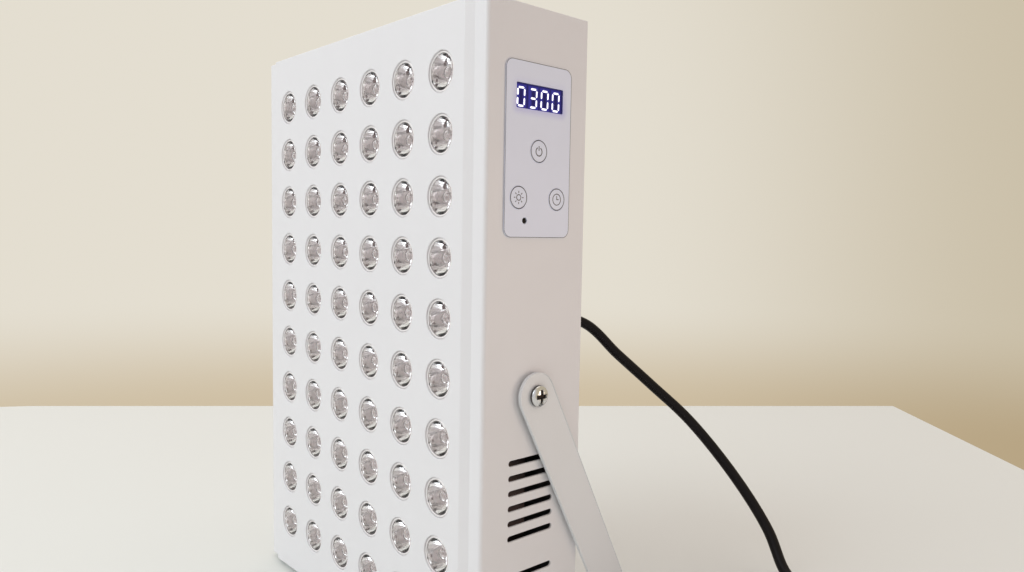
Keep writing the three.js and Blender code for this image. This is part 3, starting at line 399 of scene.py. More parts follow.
class Finish:
    """A material on one Principled shader."""

    def __init__(self, name, colour, roughness, metallic=0.0, **constants):
        self.material = bpy.data.materials.new(name)
        self.material.use_nodes = True
        self.tree = self.material.node_tree
        self.shader = self.tree.nodes["Principled BSDF"]
        self.colour = (*colour, 1)
        self.material.diffuse_color = self.colour
        values = {"Base Color": self.colour, "Roughness": roughness, "Metallic": metallic}
        values.update({key.replace("_", " "): value for key, value in constants.items()})
        for key, value in values.items():
            self.shader.inputs[key].default_value = value

    def node(self, kind, settings=None, inputs=None):
        return add_node(self.tree, kind, settings, inputs)

    def math(self, operation, first, second=0.0, clamp=False):
        settings = {"operation": operation, "use_clamp": clamp}
        return Number(self, self.node("ShaderNodeMath", settings, {0: first, 1: second}).outputs[0])

    def step(self, value, low, high):
        return Number(self, smooth_step(self.tree, value, low, high))

    def place(self, shift=(0, 0, 0), scale=(1, 1, 1)):
        """Object coordinates, moved and then scaled."""
        source = self.node("ShaderNodeTexCoord").outputs["Object"]
        moved = self.node("ShaderNodeVectorMath", {"operation": "ADD"}, {0: source, 1: shift})
        scaled = {0: moved.outputs[0], 1: scale}
        return self.node("ShaderNodeVectorMath", {"operation": "MULTIPLY"}, scaled).outputs[0]

    def axes(self, shift=(0, 0, 0)):
        """The three object coordinates as numbers."""
        node = self.node("ShaderNodeSeparateXYZ", None, {0: self.place(shift)})
        return [Number(self, output) for output in node.outputs]

    def noise(self, size, detail=2.0, stretch=(1, 1, 1)):
        """Cloudy noise from 0 to 1, whose cells measure about size in millimetres."""
        inputs = {"Vector": self.place(scale=stretch), "Scale": 1000 / size, "Detail": detail}
        return Number(self, self.node("ShaderNodeTexNoise", None, inputs).outputs["Fac"])

    def cells(self, size):
        """Distance to the nearest of scattered points about size apart, in millimetres."""
        inputs = {"Vector": self.place(), "Scale": 1000 / size}
        return Number(self, self.node("ShaderNodeTexVoronoi", None, inputs).outputs["Distance"])

    def blend(self, factor, first, second):
        return mix(self.tree, factor, first, second)

    def feed(self, socket, value):
        value = value.socket if isinstance(value, Number) else value
        self.tree.links.new(value, self.shader.inputs[socket])
        return self

    def vary(self, factor, colour):
        """Moves the base colour towards another colour by a number."""
        return self.feed("Base Color", self.blend(factor, self.colour, colour))

    def rough(self, value):
        return self.feed("Roughness", value)

    def bump(self, height, depth):
        """Relief from a number, depth millimetres deep."""
        inputs = {"Height": height, "Strength": 1.0, "Distance": depth / 1000}
        return self.feed("Normal", self.node("ShaderNodeBump", None, inputs).outputs[0])


def coating(name, colour, inner=None):
    """White powder coat: satin, with a fine pebbled skin and very faint clouds and dust. The inner skin
    of the housing, told by its place, is painted dark as the shade inside the closed housing."""
    finish = Finish(name, colour, 0.42, Coat_Weight=0.12, Coat_Roughness=0.25)
    pebbles = finish.noise(0.9, 3)
    clouds = finish.noise(38, 3)
    specks = finish.step(finish.noise(1.6, 1), 0.76, 0.84)
    shade = finish.step(clouds, 0.35, 0.75) * 0.35 + specks * 0.12
    coat = finish.blend(shade, colour, tuple(value * 0.955 for value in colour))
    if inner is not None:
        x, y, z = finish.axes((0, -MIDDLE_Y, -FOOT - HEIGHT / 2000))
        side = finish.math("ABSOLUTE", x * 1000)
        folded = finish.math("DIVIDE", side - FIELD, STEP_RUN, clamp=True) * STEP_DEPTH
        depth = finish.math("MINIMUM", HALF_WIDTH - side, y * 1000 - FRONT_Y - folded)
        depth = finish.math("MINIMUM", depth, HEIGHT / 2 - finish.math("ABSOLUTE", z * 1000))
        depth = finish.math("MINIMUM", depth, REAR_Y - y * 1000) if inner == "cover" else depth
        # Painted shade: the inner skin, deeper than the sheet, turns dark for the shade inside the housing.
        coat = finish.blend(finish.step(depth, SHEET - 0.2, SHEET - 0.05), coat, (0.10, 0.10, 0.105))
    finish.feed("Base Color", coat)
    finish.rough(0.36 + pebbles * 0.08 + clouds * 0.08)
    return finish.bump(pebbles * 0.7 + finish.noise(0.35, 2) * 0.3, 0.045)


def moulded(name, colour, roughness=0.45, grain=0.5, depth=0.02):
    """Moulded plastic: fine spark-eroded grain and slow changes of gloss."""
    finish = Finish(name, colour, roughness)
    skin = finish.noise(grain, 3)
    flow = finish.noise(14, 2)
    finish.vary(flow * 0.5, tuple(min(1, value * 1.25 + 0.004) for value in colour))
    finish.rough(roughness - 0.05 + flow * 0.08 + skin * 0.06)
    return finish.bump(skin, depth)


def metal(name, colour, roughness, stretch=(1, 1, 1), size=0.5):
    """Bare or plated metal with drawn marks and slightly uneven gloss."""
    finish = Finish(name, colour, roughness, 1.0)
    marks = finish.noise(size, 4, stretch)
    clouds = finish.noise(6, 2)
    finish.vary(clouds * 0.6, tuple(value * 0.82 for value in colour))
    finish.rough(roughness - 0.04 + marks * 0.12 + clouds * 0.05)
    return finish.bump(marks, 0.006)


def pivot_screw_finish():
    """Nickel plate, darker and duller at the bottom of the cross, and with painted shade round the flank of
    the pivot screw, told by the distance from its axis and face."""
    finish = Finish("pivot_nickel", (0.75, 0.75, 0.755), 0.17, 1.0)
    x, y, z = finish.axes((0, -MIDDLE_Y - PIVOT_Y / 1000, -FOOT - PIVOT_Z / 1000))
    out = finish.math("SQRT", y * y + z * z) * 1000
    above_seat = finish.math("ABSOLUTE", x * 1000) - BOLT_SEAT
    low = 1 - finish.step(above_seat, BOLT_HEIGHT / 2, BOLT_HEIGHT - 0.5)
    # Darker and duller at the bottom of the cross, below half the head's height.
    cross_bottom = low * (1 - finish.step(out, 3.1, 3.8))
    # Painted shade: a dark ring round the flank of the head.
    flank = finish.step(out, BOLT_RADIUS - 0.15, BOLT_RADIUS - 0.04) * 0.85
    clouds = finish.noise(3, 2)
    worn = finish.blend(clouds * 0.5, finish.colour, (0.62, 0.61, 0.61))
    darkened = finish.math("MAXIMUM", cross_bottom, flank)
    finish.feed("Base Color", finish.blend(darkened, worn, (0.035, 0.028, 0.027)))
    finish.rough(0.13 + clouds * 0.08 + cross_bottom * 0.3)
    return finish.bump(finish.noise(0.5, 3), 0.004)


def grained(name, colour, low, spread, size, **constants):
    """A plain skin whose gloss changes with fine noise."""
    finish = Finish(name, colour, low + spread / 2, **constants)
    return finish.rough(low + finish.noise(size, 2) * spread)


def rubber_skin(name, colour, roughness=0.6):
    """Rubber: matt, with a dusty bloom and a fine uneven skin."""
    finish = Finish(name, colour, roughness)
    dust = finish.noise(5, 4)
    finish.vary(finish.step(dust, 0.45, 0.8) * 0.35, (0.09, 0.088, 0.085))
    finish.rough(roughness - 0.05 + dust * 0.15)
    return finish.bump(finish.noise(0.4, 3), 0.02)


def cord_jacket():
    """Black cord jacket: smooth, a little glossy, with faint drawing marks and handling haze."""
    finish = Finish("cord_jacket", (0.0075, 0.0055, 0.0062), 0.36, Specular_IOR_Level=0.16)
    haze = finish.noise(9, 3)
    finish.vary(finish.step(haze, 0.4, 0.8) * 0.5, (0.012, 0.0095, 0.0105))
    finish.rough(0.3 + haze * 0.14)
    return finish.bump(finish.noise(0.9, 3), 0.02)


def film_finish():
    """Pale printed film: satin, faint grain, and the display's violet light on it round the window."""
    finish = Finish("printed_film", (0.775, 0.82, 0.93), 0.4, Emission_Strength=1.0)
    grain = finish.noise(0.25, 3)
    clouds = finish.noise(11, 3)
    _, y, z = finish.axes((0, -(WINDOW[0] / 1000 + MIDDLE_Y), -(WINDOW[1] / 1000 + FOOT)))
    out_y, out_z = (
        finish.math("MAXIMUM", finish.math("ABSOLUTE", place) * 1000 - (core - 0.45), 0.0)
        for place, core in zip((y, z), WINDOW_CORE)
    )
    away = finish.math("SQRT", out_y * out_y + out_z * out_z)
    glow = 1 - finish.step(away, 0.0, 5.0)
    glow = glow * (1 - finish.step(z * 1000, -4.0, 7.0) * 0.7)
    finish.feed("Emission Color", finish.blend(glow, (0, 0.004, 0.02), (0.018, 0.018, 0.12)))
    plain = finish.blend(finish.step(clouds, 0.3, 0.8) * 0.4, finish.colour, (0.75, 0.80, 0.90))
    finish.feed("Base Color", finish.blend(glow, plain, (0.56, 0.57, 0.70)))
    finish.rough(0.36 + grain * 0.08)
    return finish.bump(grain, 0.008)


def window_finish():
    """Dark violet display window, lit round the digits: the light falls with the distance to the outline
    of each digit."""
    colour = (0.012, 0.010, 0.055)
    finish = Finish("display_violet", colour, 0.2, Emission_Strength=1.0, Specular_IOR_Level=0.06)
    grain = finish.noise(0.45, 2)
    _, y, z = finish.axes((0, -(WINDOW[0] / 1000 + MIDDLE_Y), -(DIGITS_Z / 1000 + FOOT)))
    high = finish.math("ABSOLUTE", z * 1000) - DIGIT_HALF[1]
    light = grain * 0.18
    for middle in DIGIT_Y:
        wide = finish.math("ABSOLUTE", y * 1000 - middle) - DIGIT_HALF[0]
        away = finish.math("ABSOLUTE", finish.math("MAXIMUM", wide, high))
        light = light + (1 - finish.step(away, 0.2, 1.7)) * 0.6
    light = finish.math("MINIMUM", light, 1.0)
    finish.feed("Emission Color", finish.blend(light, (0.005, 0.004, 0.032), (0.050, 0.046, 0.33)))
    finish.rough(0.17 + grain * 0.06)
    return finish


def glowing_digits():
    """White lit segments, a little brighter along their middle."""
    finish = Finish("lit_segments", (0.9, 0.92, 1.0), 0.4, Emission_Strength=1.0)
    flow = finish.noise(0.8, 2)
    finish.feed("Emission Color", finish.blend(flow, (0.82, 0.84, 1.0), (1.0, 1.0, 1.0)))
    return finish


def printed_ink():
    """Dark grey printed ink with a slightly uneven edge of tone."""
    finish = Finish("printed_ink", (0.04, 0.036, 0.034), 0.5)
    finish.vary(finish.noise(0.6, 2), (0.075, 0.068, 0.064))
    return finish


def clear_lens():
    """Clear moulded acrylic with a faintly hazy skin."""
    finish = Finish("clear_acrylic", (1.0, 0.97, 0.965), 0.1, Transmission_Weight=1.0, IOR=1.49)
    haze = finish.noise(3.5, 3)
    finish.rough(0.05 + finish.step(haze, 0.3, 0.8) * 0.06)
    return finish


def cup_finish():
    """Bright satin lining behind each lens, with a faint glow for the light that the clear lens passes
    round."""
    finish = Finish("cup_silver", (1.0, 0.955, 0.95), 0.28, 0.35, Emission_Strength=0.05)
    clouds = finish.noise(2.2, 3)
    finish.vary(clouds * 0.4, (0.90, 0.85, 0.84))
    finish.feed("Emission Color", finish.blend(clouds, (1.0, 0.95, 0.94), (0.9, 0.85, 0.84)))
    return finish.rough(0.22 + clouds * 0.12)


def board_finish():
    """White solder resist over copper tracks that show as faint broad bands."""
    finish = Finish("solder_resist", (0.80, 0.79, 0.75), 0.42)
    _, _, z = finish.axes()
    bands = finish.math("PINGPONG", z, 0.014)
    tracks = finish.step(bands * 1000, 9.5, 9.9)
    finish.vary(tracks * 0.5 + finish.noise(9, 3) * 0.3, (0.66, 0.64, 0.59))
    return finish.bump(tracks * 0.6 + finish.noise(0.6, 2) * 0.1, 0.03)


def hook_strap():
    """Woven hook strap: fine hooks in rows as relief."""
    finish = Finish("hook_strap", (0.014, 0.014, 0.015), 0.85)
    hooks = finish.cells(0.9)
    finish.vary(hooks * 0.6, (0.045, 0.045, 0.047))
    return finish.bump(hooks, 0.3)


white_coat = coating("white_powder_coat", (0.785, 0.79, 0.815), "shell")
cover_coat = coating("cover_powder_coat", (0.78, 0.785, 0.805), "cover")
stand_coat = coating("stand_powder_coat", (0.785, 0.81, 0.835))
lens_clear = clear_lens()
cup_silver = cup_finish()
holder_white = moulded("holder_white", (0.93, 0.90, 0.91), 0.35)
board_white = board_finish()
emitter_body = moulded("emitter_ceramic", (0.45, 0.41, 0.40), 0.4)
emitter_chip = Finish("emitter_chip", (0.10, 0.05, 0.04), 0.25)
emitter_chip.vary(emitter_chip.noise(0.5, 2), (0.05, 0.03, 0.03))
emitter_dome = grained("emitter_dome", (0.85, 0.84, 0.78), 0.06, 0.06, 0.7, Transmission_Weight=1, IOR=1.41)
extruded = metal("black_anodised", (0.12, 0.088, 0.085), 0.45, (8, 8, 0.3))
case_metal = metal("driver_case", (0.62, 0.62, 0.63), 0.38, (1, 6, 0.5), 2.0)
nickel = metal("nickel_plate", (0.74, 0.72, 0.69), 0.2)
pivot_nickel = pivot_screw_finish()
brass = metal("pin_brass", (0.72, 0.58, 0.33), 0.26)
fan_plastic = moulded("fan_plastic", (0.014, 0.014, 0.016), 0.45)
rotor_plastic = moulded("rotor_plastic", (0.017, 0.017, 0.019), 0.38)
guard_enamel = moulded("guard_enamel", (0.02, 0.02, 0.022), 0.3, 1.2, 0.03)
black_module = moulded("black_moulding", (0.02, 0.02, 0.022), 0.42)
eye_black = grained("eye_black", (0.004, 0.003, 0.003), 0.25, 0.1, 0.4, Specular_IOR_Level=0.15)
spot_brown = grained("spot_brown", (0.34, 0.25, 0.245), 0.35, 0.1, 0.4)
circuit_green = moulded("circuit_resist", (0.03, 0.14, 0.075), 0.35, 1.5)
nylon_white = moulded("natural_nylon", (0.74, 0.73, 0.69), 0.45)
rubber_black = rubber_skin("black_rubber", (0.022, 0.022, 0.022))
lead_black = rubber_skin("lead_jacket", (0.02, 0.02, 0.02), 0.5)
jacket = cord_jacket()
plug_black = moulded("plug_moulding", (0.014, 0.013, 0.014), 0.4, 0.7, 0.03)
film = film_finish()
violet = window_finish()
digits = glowing_digits()
ink = printed_ink()
strap = hook_strap()


# Mains cord: free stretch, then the flat coil, on the points of the part's source

CORD_RADIUS, TIE_THICKNESS, END_LEAD = 3.3, 0.8, 7
COIL_TURNS, COIL_RADIUS, COIL_PITCH, COIL_RISE = 6, 50.5, 7.4, 7.4
HEADING = math.radians(-21)
ALONG = np.array([math.cos(HEADING), math.sin(HEADING), 0])
COIL_Z = TIE_THICKNESS + GAP + CORD_RADIUS - FOOT_HEIGHT
COIL_START = np.array([186.3, 164.1, COIL_Z])
COIL_CENTRE = COIL_START + COIL_RADIUS * np.array([math.sin(HEADING), -math.cos(HEADING), 0])
TUBE_START = COIL_START - 2 * CORD_RADIUS * ALONG
CORD_END = TUBE_START - GAP * ALONG
CORD_START = np.array([0, 85.0, INLET_Z])
ROUTE = np.array([
    CORD_START,
    CORD_START + (0, END_LEAD, 0),
    (16.7, 131.1, 150.3),
    (32.9, 146.8, 130.2),
    (49.3, 162.8, 110.2),
    (70.8, 176.6, 88.1),
    (99.5, 186.9, 55.2),
    (121.9, 189.2, 27.4),
    (136.4, 183.7, 8.5),
    (150, 178, 2.7),
    CORD_END - END_LEAD * ALONG,
    CORD_END,
])


def smooth_route(points, steps):
    """A centripetal spline: between two points a cubic, whose end slopes weigh the neighbours by the square
    root of their distances."""
    ends = np.vstack([2 * points[0] - points[1], points, 2 * points[-1] - points[-2]])
    a, b, c, d = ends[:-3], ends[1:-2], ends[2:-1], ends[3:]
    near, mid, far = (np.sqrt(np.linalg.norm(q - p, axis=1))[:, None] for p, q in ((a, b), (b, c), (c, d)))
    start = ((b - a) / near - (c - a) / (near + mid) + (c - b) / mid) * mid
    end = ((c - b) / mid - (d - b) / (mid + far) + (d - c) / far) * mid
    t = np.linspace(0, 1, steps, endpoint=False)[None, :, None]
    b, c, start, end = (value[:, None] for value in (b, c, start, end))
    curve = b + start * t + (3 * (c - b) - 2 * start - end) * t ** 2 + (2 * (b - c) + start + end) * t ** 3
    return np.vstack([curve.reshape(-1, 3), points[-1:]])


def coil_line(turn):
    """Spiral in on one layer and out on the next: the radius grows with the turns from the middle, and the
    line climbs in the half turn where it reverses."""
    inner = COIL_RADIUS - COIL_TURNS / 2 * COIL_PITCH
    radius = inner + COIL_PITCH * np.abs(turn - COIL_TURNS / 2)
    rise = np.clip((turn - COIL_TURNS / 2 + 0.25) / 0.5, 0, 1)
    rise = rise * rise * (3 - 2 * rise)
    angle = HEADING + math.pi / 2 - 2 * math.pi * turn
    x = COIL_CENTRE[0] + radius * np.cos(angle)
    y = COIL_CENTRE[1] + radius * np.sin(angle)
    return np.stack([x, y, COIL_Z + COIL_RISE * rise], -1)


TURN_STEPS = 36
coil = coil_line(np.arange(COIL_TURNS * TURN_STEPS + 1) / TURN_STEPS)
coil_tail = coil[-1] + 14 * ALONG
cord_line = np.vstack([smooth_route(ROUTE, 14), TUBE_START, coil, coil_tail])

cord_form = Form()
cord_form.tube(cord_line, CORD_RADIUS, (0, 0, 1), 16)
power_cord = cord_form.piece("power_cord_jacket", "housing", jacket, "cord", ("power_cord", "cord_coil"))


# Connector, plug and tie on the cord

def relief(form, span, radii, grooves, cut, plain, rows, centre, axes):
    """Tapered strain relief: the radius changes evenly with the height, and round grooves are cut in as
    the square of a sine, from half a groove on and up to the plain share of the height."""
    h = np.linspace(0, 1, rows)
    groove = np.sin(h * math.pi * grooves) ** 2 * ((h > 0.5 / grooves) & (h < plain))
    radius, height = (start + (end - start) * h for start, end in (radii, span))
    profile = np.column_stack([radius - cut * groove, height])
    form.turned(np.vstack([[0, span[0]], profile, [0, span[1]]]), centre, axes, 32)


def turned_seat(angle, place):
    """A seat that turns points about Z by an angle and then moves them."""
    def seat(points):
        x, y, z = points.T
        turned = [x * math.cos(angle) - y * math.sin(angle), x * math.sin(angle) + y * math.cos(angle), z]
        return np.column_stack(turned) + place
    return seat


connector = Form()
centre = (0, 34.75, INLET_Z)
connector.loft([(-15.5, 22.2, 14.4, 1.0), (-15.1, 23.4, 15.6, 1.2), (0.5, 23.8, 16, 1.2)], centre, ALONG_Y)
connector.loft(
    [(0, 25.8, 18.8, 2.8), (0.6, 27.2, 20.2, 3.3), (1.4, 27.6, 20.6, 3.5), (13, 27.6, 20.6, 3.5),
     (14, 26.6, 19.6, 3.3), (15, 27.4, 20.4, 3.5), (20.5, 27.2, 20.2, 4.5), (23, 24.8, 18, 6),
     (24, 21.5, 15.5, 7)],
    centre, ALONG_Y, 8,
)
relief(connector, (23.6, 50), (7.5, 3.9), 6, 0.9, 0.92, 61, centre, ALONG_Y)
connector.piece("connector_moulding", "housing", plug_black, "cord", ("cord_connector",))

PLUG_RELIEF, PLUG_BODY, PLUG_WIDE, PLUG_DEEP = 34, 36, 27, 23.5
plug_seat = turned_seat(HEADING, coil_tail + GAP * ALONG)
plug = Form(plug_seat)
# The plug's body: a share h of its length gives a waist, small ridges for the grip and drawn-in ends.
h = np.linspace(0, 1, 25)
waist = 1 - 0.16 * np.sin(np.clip((h - 0.05) / 0.8, 0, 1) * math.pi) ** 2
ridge = 0.45 * np.sin(np.clip((h - 0.18) / 0.54, 0, 1) * math.pi * 6) ** 2
swell = np.minimum(1, 0.86 + 0.9 * np.minimum(h, 1 - h) ** 0.5)
sections = [PLUG_RELIEF + PLUG_BODY * h, PLUG_WIDE * waist * swell + ridge, PLUG_DEEP * swell, 5 * swell]
plug.loft(np.column_stack(sections), (0, 0, 0), ALONG_X, 8)
relief(plug, (0, PLUG_RELIEF), (3.9, 7.5), 8, 0.8, 0.94, 73, (0, 0, 0), ALONG_X)
plug.piece("plug_moulding", "housing", plug_black, "cord", ("power_plug",))

for place, side in (("left", -1), ("right", 1)):
    blade = Form(plug_seat)
    blade.loft(
        [(66.25, 1.5, 6.35, 0.2), (82, 1.5, 6.35, 0.2), (85, 1.4, 5.6, 0.3), (86, 0.7, 4.2, 0.3)],
        (0, side * 6.35, 5.4), ALONG_X, 3,
    )
    blade.piece(f"blade_{place}", "housing", brass, "brass", (f"plug_blade_{place}",))
pin = Form(plug_seat)
pin_profile = [(0, 66.25), (2.38, 66.25), (2.38, 86.3), (1.9, 88), (0, 88.5)]
pin.turned(eased(pin_profile, 0.9), (0, 0, -6.5), ALONG_X, 24)
pin.piece("ground_pin", "housing", brass, "brass", ("plug_ground_pin",))

# The tie lies round the coil opposite the place where the cord comes in, one gap from the jacket.
reach = CORD_RADIUS + GAP
tie_inner = COIL_RADIUS - (COIL_TURNS - 1) / 2 * COIL_PITCH - reach - 1
tie_outer = COIL_RADIUS - COIL_PITCH / 2 + reach
tie_low, tie_high = COIL_Z - reach, COIL_Z + COIL_RISE + reach
tie = Form(turned_seat(HEADING - math.pi / 2, (*COIL_CENTRE[:2], 0)))
loop = rounded_rectangle(tie_outer - tie_inner + TIE_THICKNESS, tie_high - tie_low + TIE_THICKNESS, 3.4, 8)
path = lifted(loop + ((tie_inner + tie_outer) / 2, (tie_low + tie_high) / 2), Y, 0)
tie.sweep(path, rounded_rectangle(TIE_THICKNESS, 12, 0.3, 3), (0, 1, 0), closed=True)
tie.piece("tie_strap", "housing", strap, "rubber", ("cord_tie",))


# Housing

SLOPE = math.atan2(STEP_DEPTH, STEP_RUN)
TOP_EDGE = 0.5
SIDE_Y0 = FRONT_Y + STEP_DEPTH + BEND


def outwards(angle):
    """The direction away from an arc's centre, seen from above: forwards at 0, to the right at a quarter."""
    return np.stack([np.sin(angle), -np.cos(angle)], -1)


def side_folds(inset):
    """The right folds seen from above: three arcs about fixed centres, whose radii change with the inset."""
    inner_fold, outer_fold = 2.2, 1.6
    turn = np.linspace(0, 1, 6)
    centre = np.array([FIELD - inner_fold * math.tan(SLOPE / 2), FRONT_Y + inner_fold])
    down = centre + (inner_fold - inset) * outwards(turn * SLOPE)
    level_x = FIELD + STEP_RUN + outer_fold * math.tan(SLOPE / 2)
    centre = np.array([level_x, FRONT_Y + STEP_DEPTH - outer_fold])
    level = centre - (outer_fold + inset) * outwards((1 - turn) * SLOPE)
    centre = np.array([HALF_WIDTH - BEND, SIDE_Y0])
    back = centre + (BEND - inset) * outwards(np.linspace(0, math.pi / 2, 9))
    flat = np.array([[level_x + 0.4, FRONT_Y + STEP_DEPTH + inset], [HALF_WIDTH - BEND - 0.4, back[0, 1]]])
    return np.vstack([down, level, flat, back])


def control_cells(low, high, sensor_row, key_radius):
    """Openings for the sensor, the keys and the window, in cells between two limits."""
    return [
        (low, high, *sensor_row, SENSOR, ROUND, 1.45),
        (low, FILM_Y, *LOW_KEYS_ROW, KEYS["mode"], ROUND, key_radius),
        (FILM_Y, high, *LOW_KEYS_ROW, KEYS["time"], ROUND, key_radius),
        (low, high, *POWER_ROW, KEYS["power"], ROUND, key_radius),
        (low, high, *WINDOW_ROW, WINDOW, WINDOW_CORE, 0.5),
    ]


# Openings in a side lie in cells between these two limits, one above the other.
SIDE_LOW, SIDE_HIGH = -27.2, 31.6
PIVOT_ROW, SENSOR_ROW, LOW_KEYS_ROW = (125.0, 144.0), (211.5, 217.8), (218.3, 231.4)
POWER_ROW, WINDOW_ROW = (239.5, 252.6), (262.6, 276.9)
slot_rows = [(z - SLOT_PITCH / 2, z + SLOT_PITCH / 2) for z in SLOT_Z]
side_rows = slot_rows + [PIVOT_ROW, SENSOR_ROW, LOW_KEYS_ROW, POWER_ROW, WINDOW_ROW]
from_slot_end = np.array([0, 0.7, 1.5, 2.5, 4, 7])
side_between = np.concatenate([
    np.arange(SIDE_Y0, REAR_Y, 1.5), SLOT_Y + SLOT_CORE + from_slot_end, SLOT_Y - SLOT_CORE - from_slot_end,
])
side_us = lines([SIDE_Y0, SIDE_LOW, FILM_Y, SIDE_HIGH, REAR_Y], side_between, 0.45)
row_edges = [ROW_Z[0] + ROW_PITCH / 2] + [z - ROW_PITCH / 2 for z in ROW_Z]
column_edges = [COLUMN_X[0] - COLUMN_PITCH / 2] + [x + COLUMN_PITCH / 2 for x in COLUMN_X]
sheet_edges = [TOP_EDGE, SHEET, HEIGHT - SHEET, HEIGHT - TOP_EDGE]
heights = lines(
    sheet_edges + row_edges + [z for row in side_rows for z in row],
    np.arange(SHEET, HEIGHT - SHEET, 2.1), 0.6,
)
inner_heights = heights[(heights > SHEET - 0.01) & (heights < HEIGHT - SHEET + 0.01)]
front_us = lines(column_edges, np.arange(column_edges[0], column_edges[-1], 1.9), 0.6)

lens_cells = [cell((x, z), COLUMN_PITCH / 2, ROW_PITCH / 2, ROUND, 9.4) for x in COLUMN_X for z in ROW_Z]
side_cells = [
    (SIDE_LOW, SIDE_HIGH, *row, (SLOT_Y, z), (SLOT_CORE, 0), SLOT_RADIUS)
    for z, row in zip(SLOT_Z, slot_rows)
]
side_cells += [(SIDE_LOW, SIDE_HIGH, *PIVOT_ROW, (PIVOT_Y, PIVOT_Z), ROUND, 2.75)]
right_cells = side_cells + control_cells(SIDE_LOW, SIDE_HIGH, SENSOR_ROW, 5.35)

shell = Form()
shell.panel(front_us, heights, lens_cells, plane(Y, FRONT_Y, 1), SHEET, 0.35, inner_heights)
shell.panel(side_us, heights, right_cells, plane(X, HALF_WIDTH, -1), SHEET, 0.25, inner_heights)
shell.panel(side_us, heights, side_cells, plane(X, -HALF_WIDTH, 1), SHEET, 0.25, inner_heights)


def outline(inset):
    """The whole outline seen from above, from the left rear round the front to the right rear."""
    front = np.column_stack([front_us, np.full(len(front_us), FRONT_Y + inset)])
    side = np.column_stack([np.full(len(side_us) - 1, HALF_WIDTH - inset), side_us[1:]])
    right = np.vstack([side_folds(inset), side])
    return np.vstack([right[::-1] * (-1, 1), front, right])


# The folds' strips between the front and the sides, outer and inner skin
for skin_heights, inset in ((heights, 0.0), (inner_heights, SHEET)):
    folds = np.vstack([[front_us[-1], FRONT_Y + inset], side_folds(inset)])
    for side in (1, -1):
        strip = np.empty((len(folds), len(skin_heights), 3))
        strip[..., :2] = (folds * (side, 1))[:, None]
        strip[..., 2] = skin_heights
        shell.grid(strip)
# Bottom and top: a rolled edge, the outer and inner face, and the sheet's rear edge
turn = np.linspace(0, math.pi / 2, 5)
for foot, way in ((0.0, 1), (HEIGHT, -1)):
    rings = [
        lifted(outline(TOP_EDGE * (1 - math.cos(a))), Z, foot + way * TOP_EDGE * (1 - math.sin(a)))
        for a in turn
    ]
    shell.grid(np.stack(rings))
    shell.cap(rings[-1])
    inner_face = foot + way * SHEET
    shell.cap(lifted(outline(SHEET), Z, inner_face))
    corner = [(HALF_WIDTH - SHEET, REAR_Y, inner_face), (HALF_WIDTH, REAR_Y, inner_face)]
    half = np.vstack([corner, [ring[-1] for ring in rings]])
    shell.cap(np.vstack([half, (half * (-1, 1, 1))[::-1]]))
# The rear edges of the sides
for side in (1, -1):
    x = np.array([HALF_WIDTH, HALF_WIDTH - SHEET]) * side
    strip = np.empty((2, len(inner_heights), 3))
    strip[..., 0], strip[..., 1], strip[..., 2] = x[:, None], REAR_Y, inner_heights
    shell.grid(strip)
# Lips behind, which carry the cover
LIP_REAR, LIP = REAR_Y - SHEET - GAP, 10
lip_front, inner_x, inner_top = LIP_REAR - SHEET, HALF_WIDTH - SHEET, HEIGHT - SHEET
for x0, z0, x1, z1 in (
    (-inner_x, SHEET, LIP - inner_x, inner_top),
    (inner_x - LIP, SHEET, inner_x, inner_top),
    (LIP - inner_x, SHEET, inner_x - LIP, SHEET + LIP),
    (LIP - inner_x, inner_top - LIP, inner_x - LIP, inner_top),
):
    shell.block((x0, lip_front, z0), (x1, LIP_REAR, z1), 0.1)
# Studs on the front's inner face that carry the board, and the nuts of the pivots
STUD_X, STUD_Z = 88, (20.0, 155.0, 290.0)
stud = [(0, 0), (2, 0), (2, 14.2), (0, 14.2)]
nut = [(0, 0), (6, 0), (6, -5.5), (2.75, -5.5), (2.75, -2), (0, -2)]
for side, axes in ((1, ALONG_X), (-1, BACK_X)):
    for z in STUD_Z:
        shell.turned(stud, (side * STUD_X, FRONT_Y + 0.7, z), ALONG_Y, 16)
    shell.turned(nut, (side * inner_x, PIVOT_Y, PIVOT_Z), axes, 6)
shell.piece("housing_shell", "housing", white_coat, "coating", ("front_shell",))


# Rear cover and its screws

cover = Form()
COVER_WIDE, COVER_HIGH = 206, 307
screw_x = inner_x - LIP / 2
screw_places = [(x, z) for x in (-screw_x, screw_x) for z in (SHEET + LIP / 2, inner_top - LIP / 2)]
cover_cells = [cell((0, z), 41, 41, ROUND, 37.5) for z in FAN_HEIGHTS.values()]
cover_cells += [cell((0, INLET_Z), 41, 15, (13.4, 9.8), 0.5)]
cover_cells += [cell(place, 4.2, 4.2, ROUND, 1.75) for place in screw_places]
cover_skin = plane(Y, REAR_Y, -1)
cover.plate(COVER_WIDE, COVER_HIGH, (0, HEIGHT / 2), 0.5, cover_cells, cover_skin, SHEET, 0.2, 4)
cover.piece("back_cover", "housing", cover_coat, "coating", ("rear_cover",))


def screw(form, centre, axes, head, recess, shank):
    """A pan head on rings of points. Its height falls off towards the edge as a flattened dome, and a cross
    is pressed in where the distance to either arm of the cross is small."""
    radius, height, edge = head
    long, wide, deep = recess
    share = np.concatenate([[0], np.linspace(0.04, 1, 34)])
    dome = edge + (height - edge) * (1 - share ** 3.4) ** 0.6
    top = rings_of(share * radius, dome, 120)
    beside, above = np.abs(top[..., 0]), np.abs(top[..., 1])
    one = np.maximum(beside - long / 2, above - wide / 2)
    other = np.maximum(beside - wide / 2, above - long / 2)
    pressed = np.clip(0.5 - np.minimum(one, other) / 0.3, 0, 1)
    top[..., 2] -= pressed * deep * (1 - 0.45 * share[:, None])
    thread, length = shank
    rest = rings_of([radius, radius, thread, thread, 0], [0.15, 0, 0, -length, -length], 120)
    form.wound(np.concatenate([top, rest]), centre, axes)


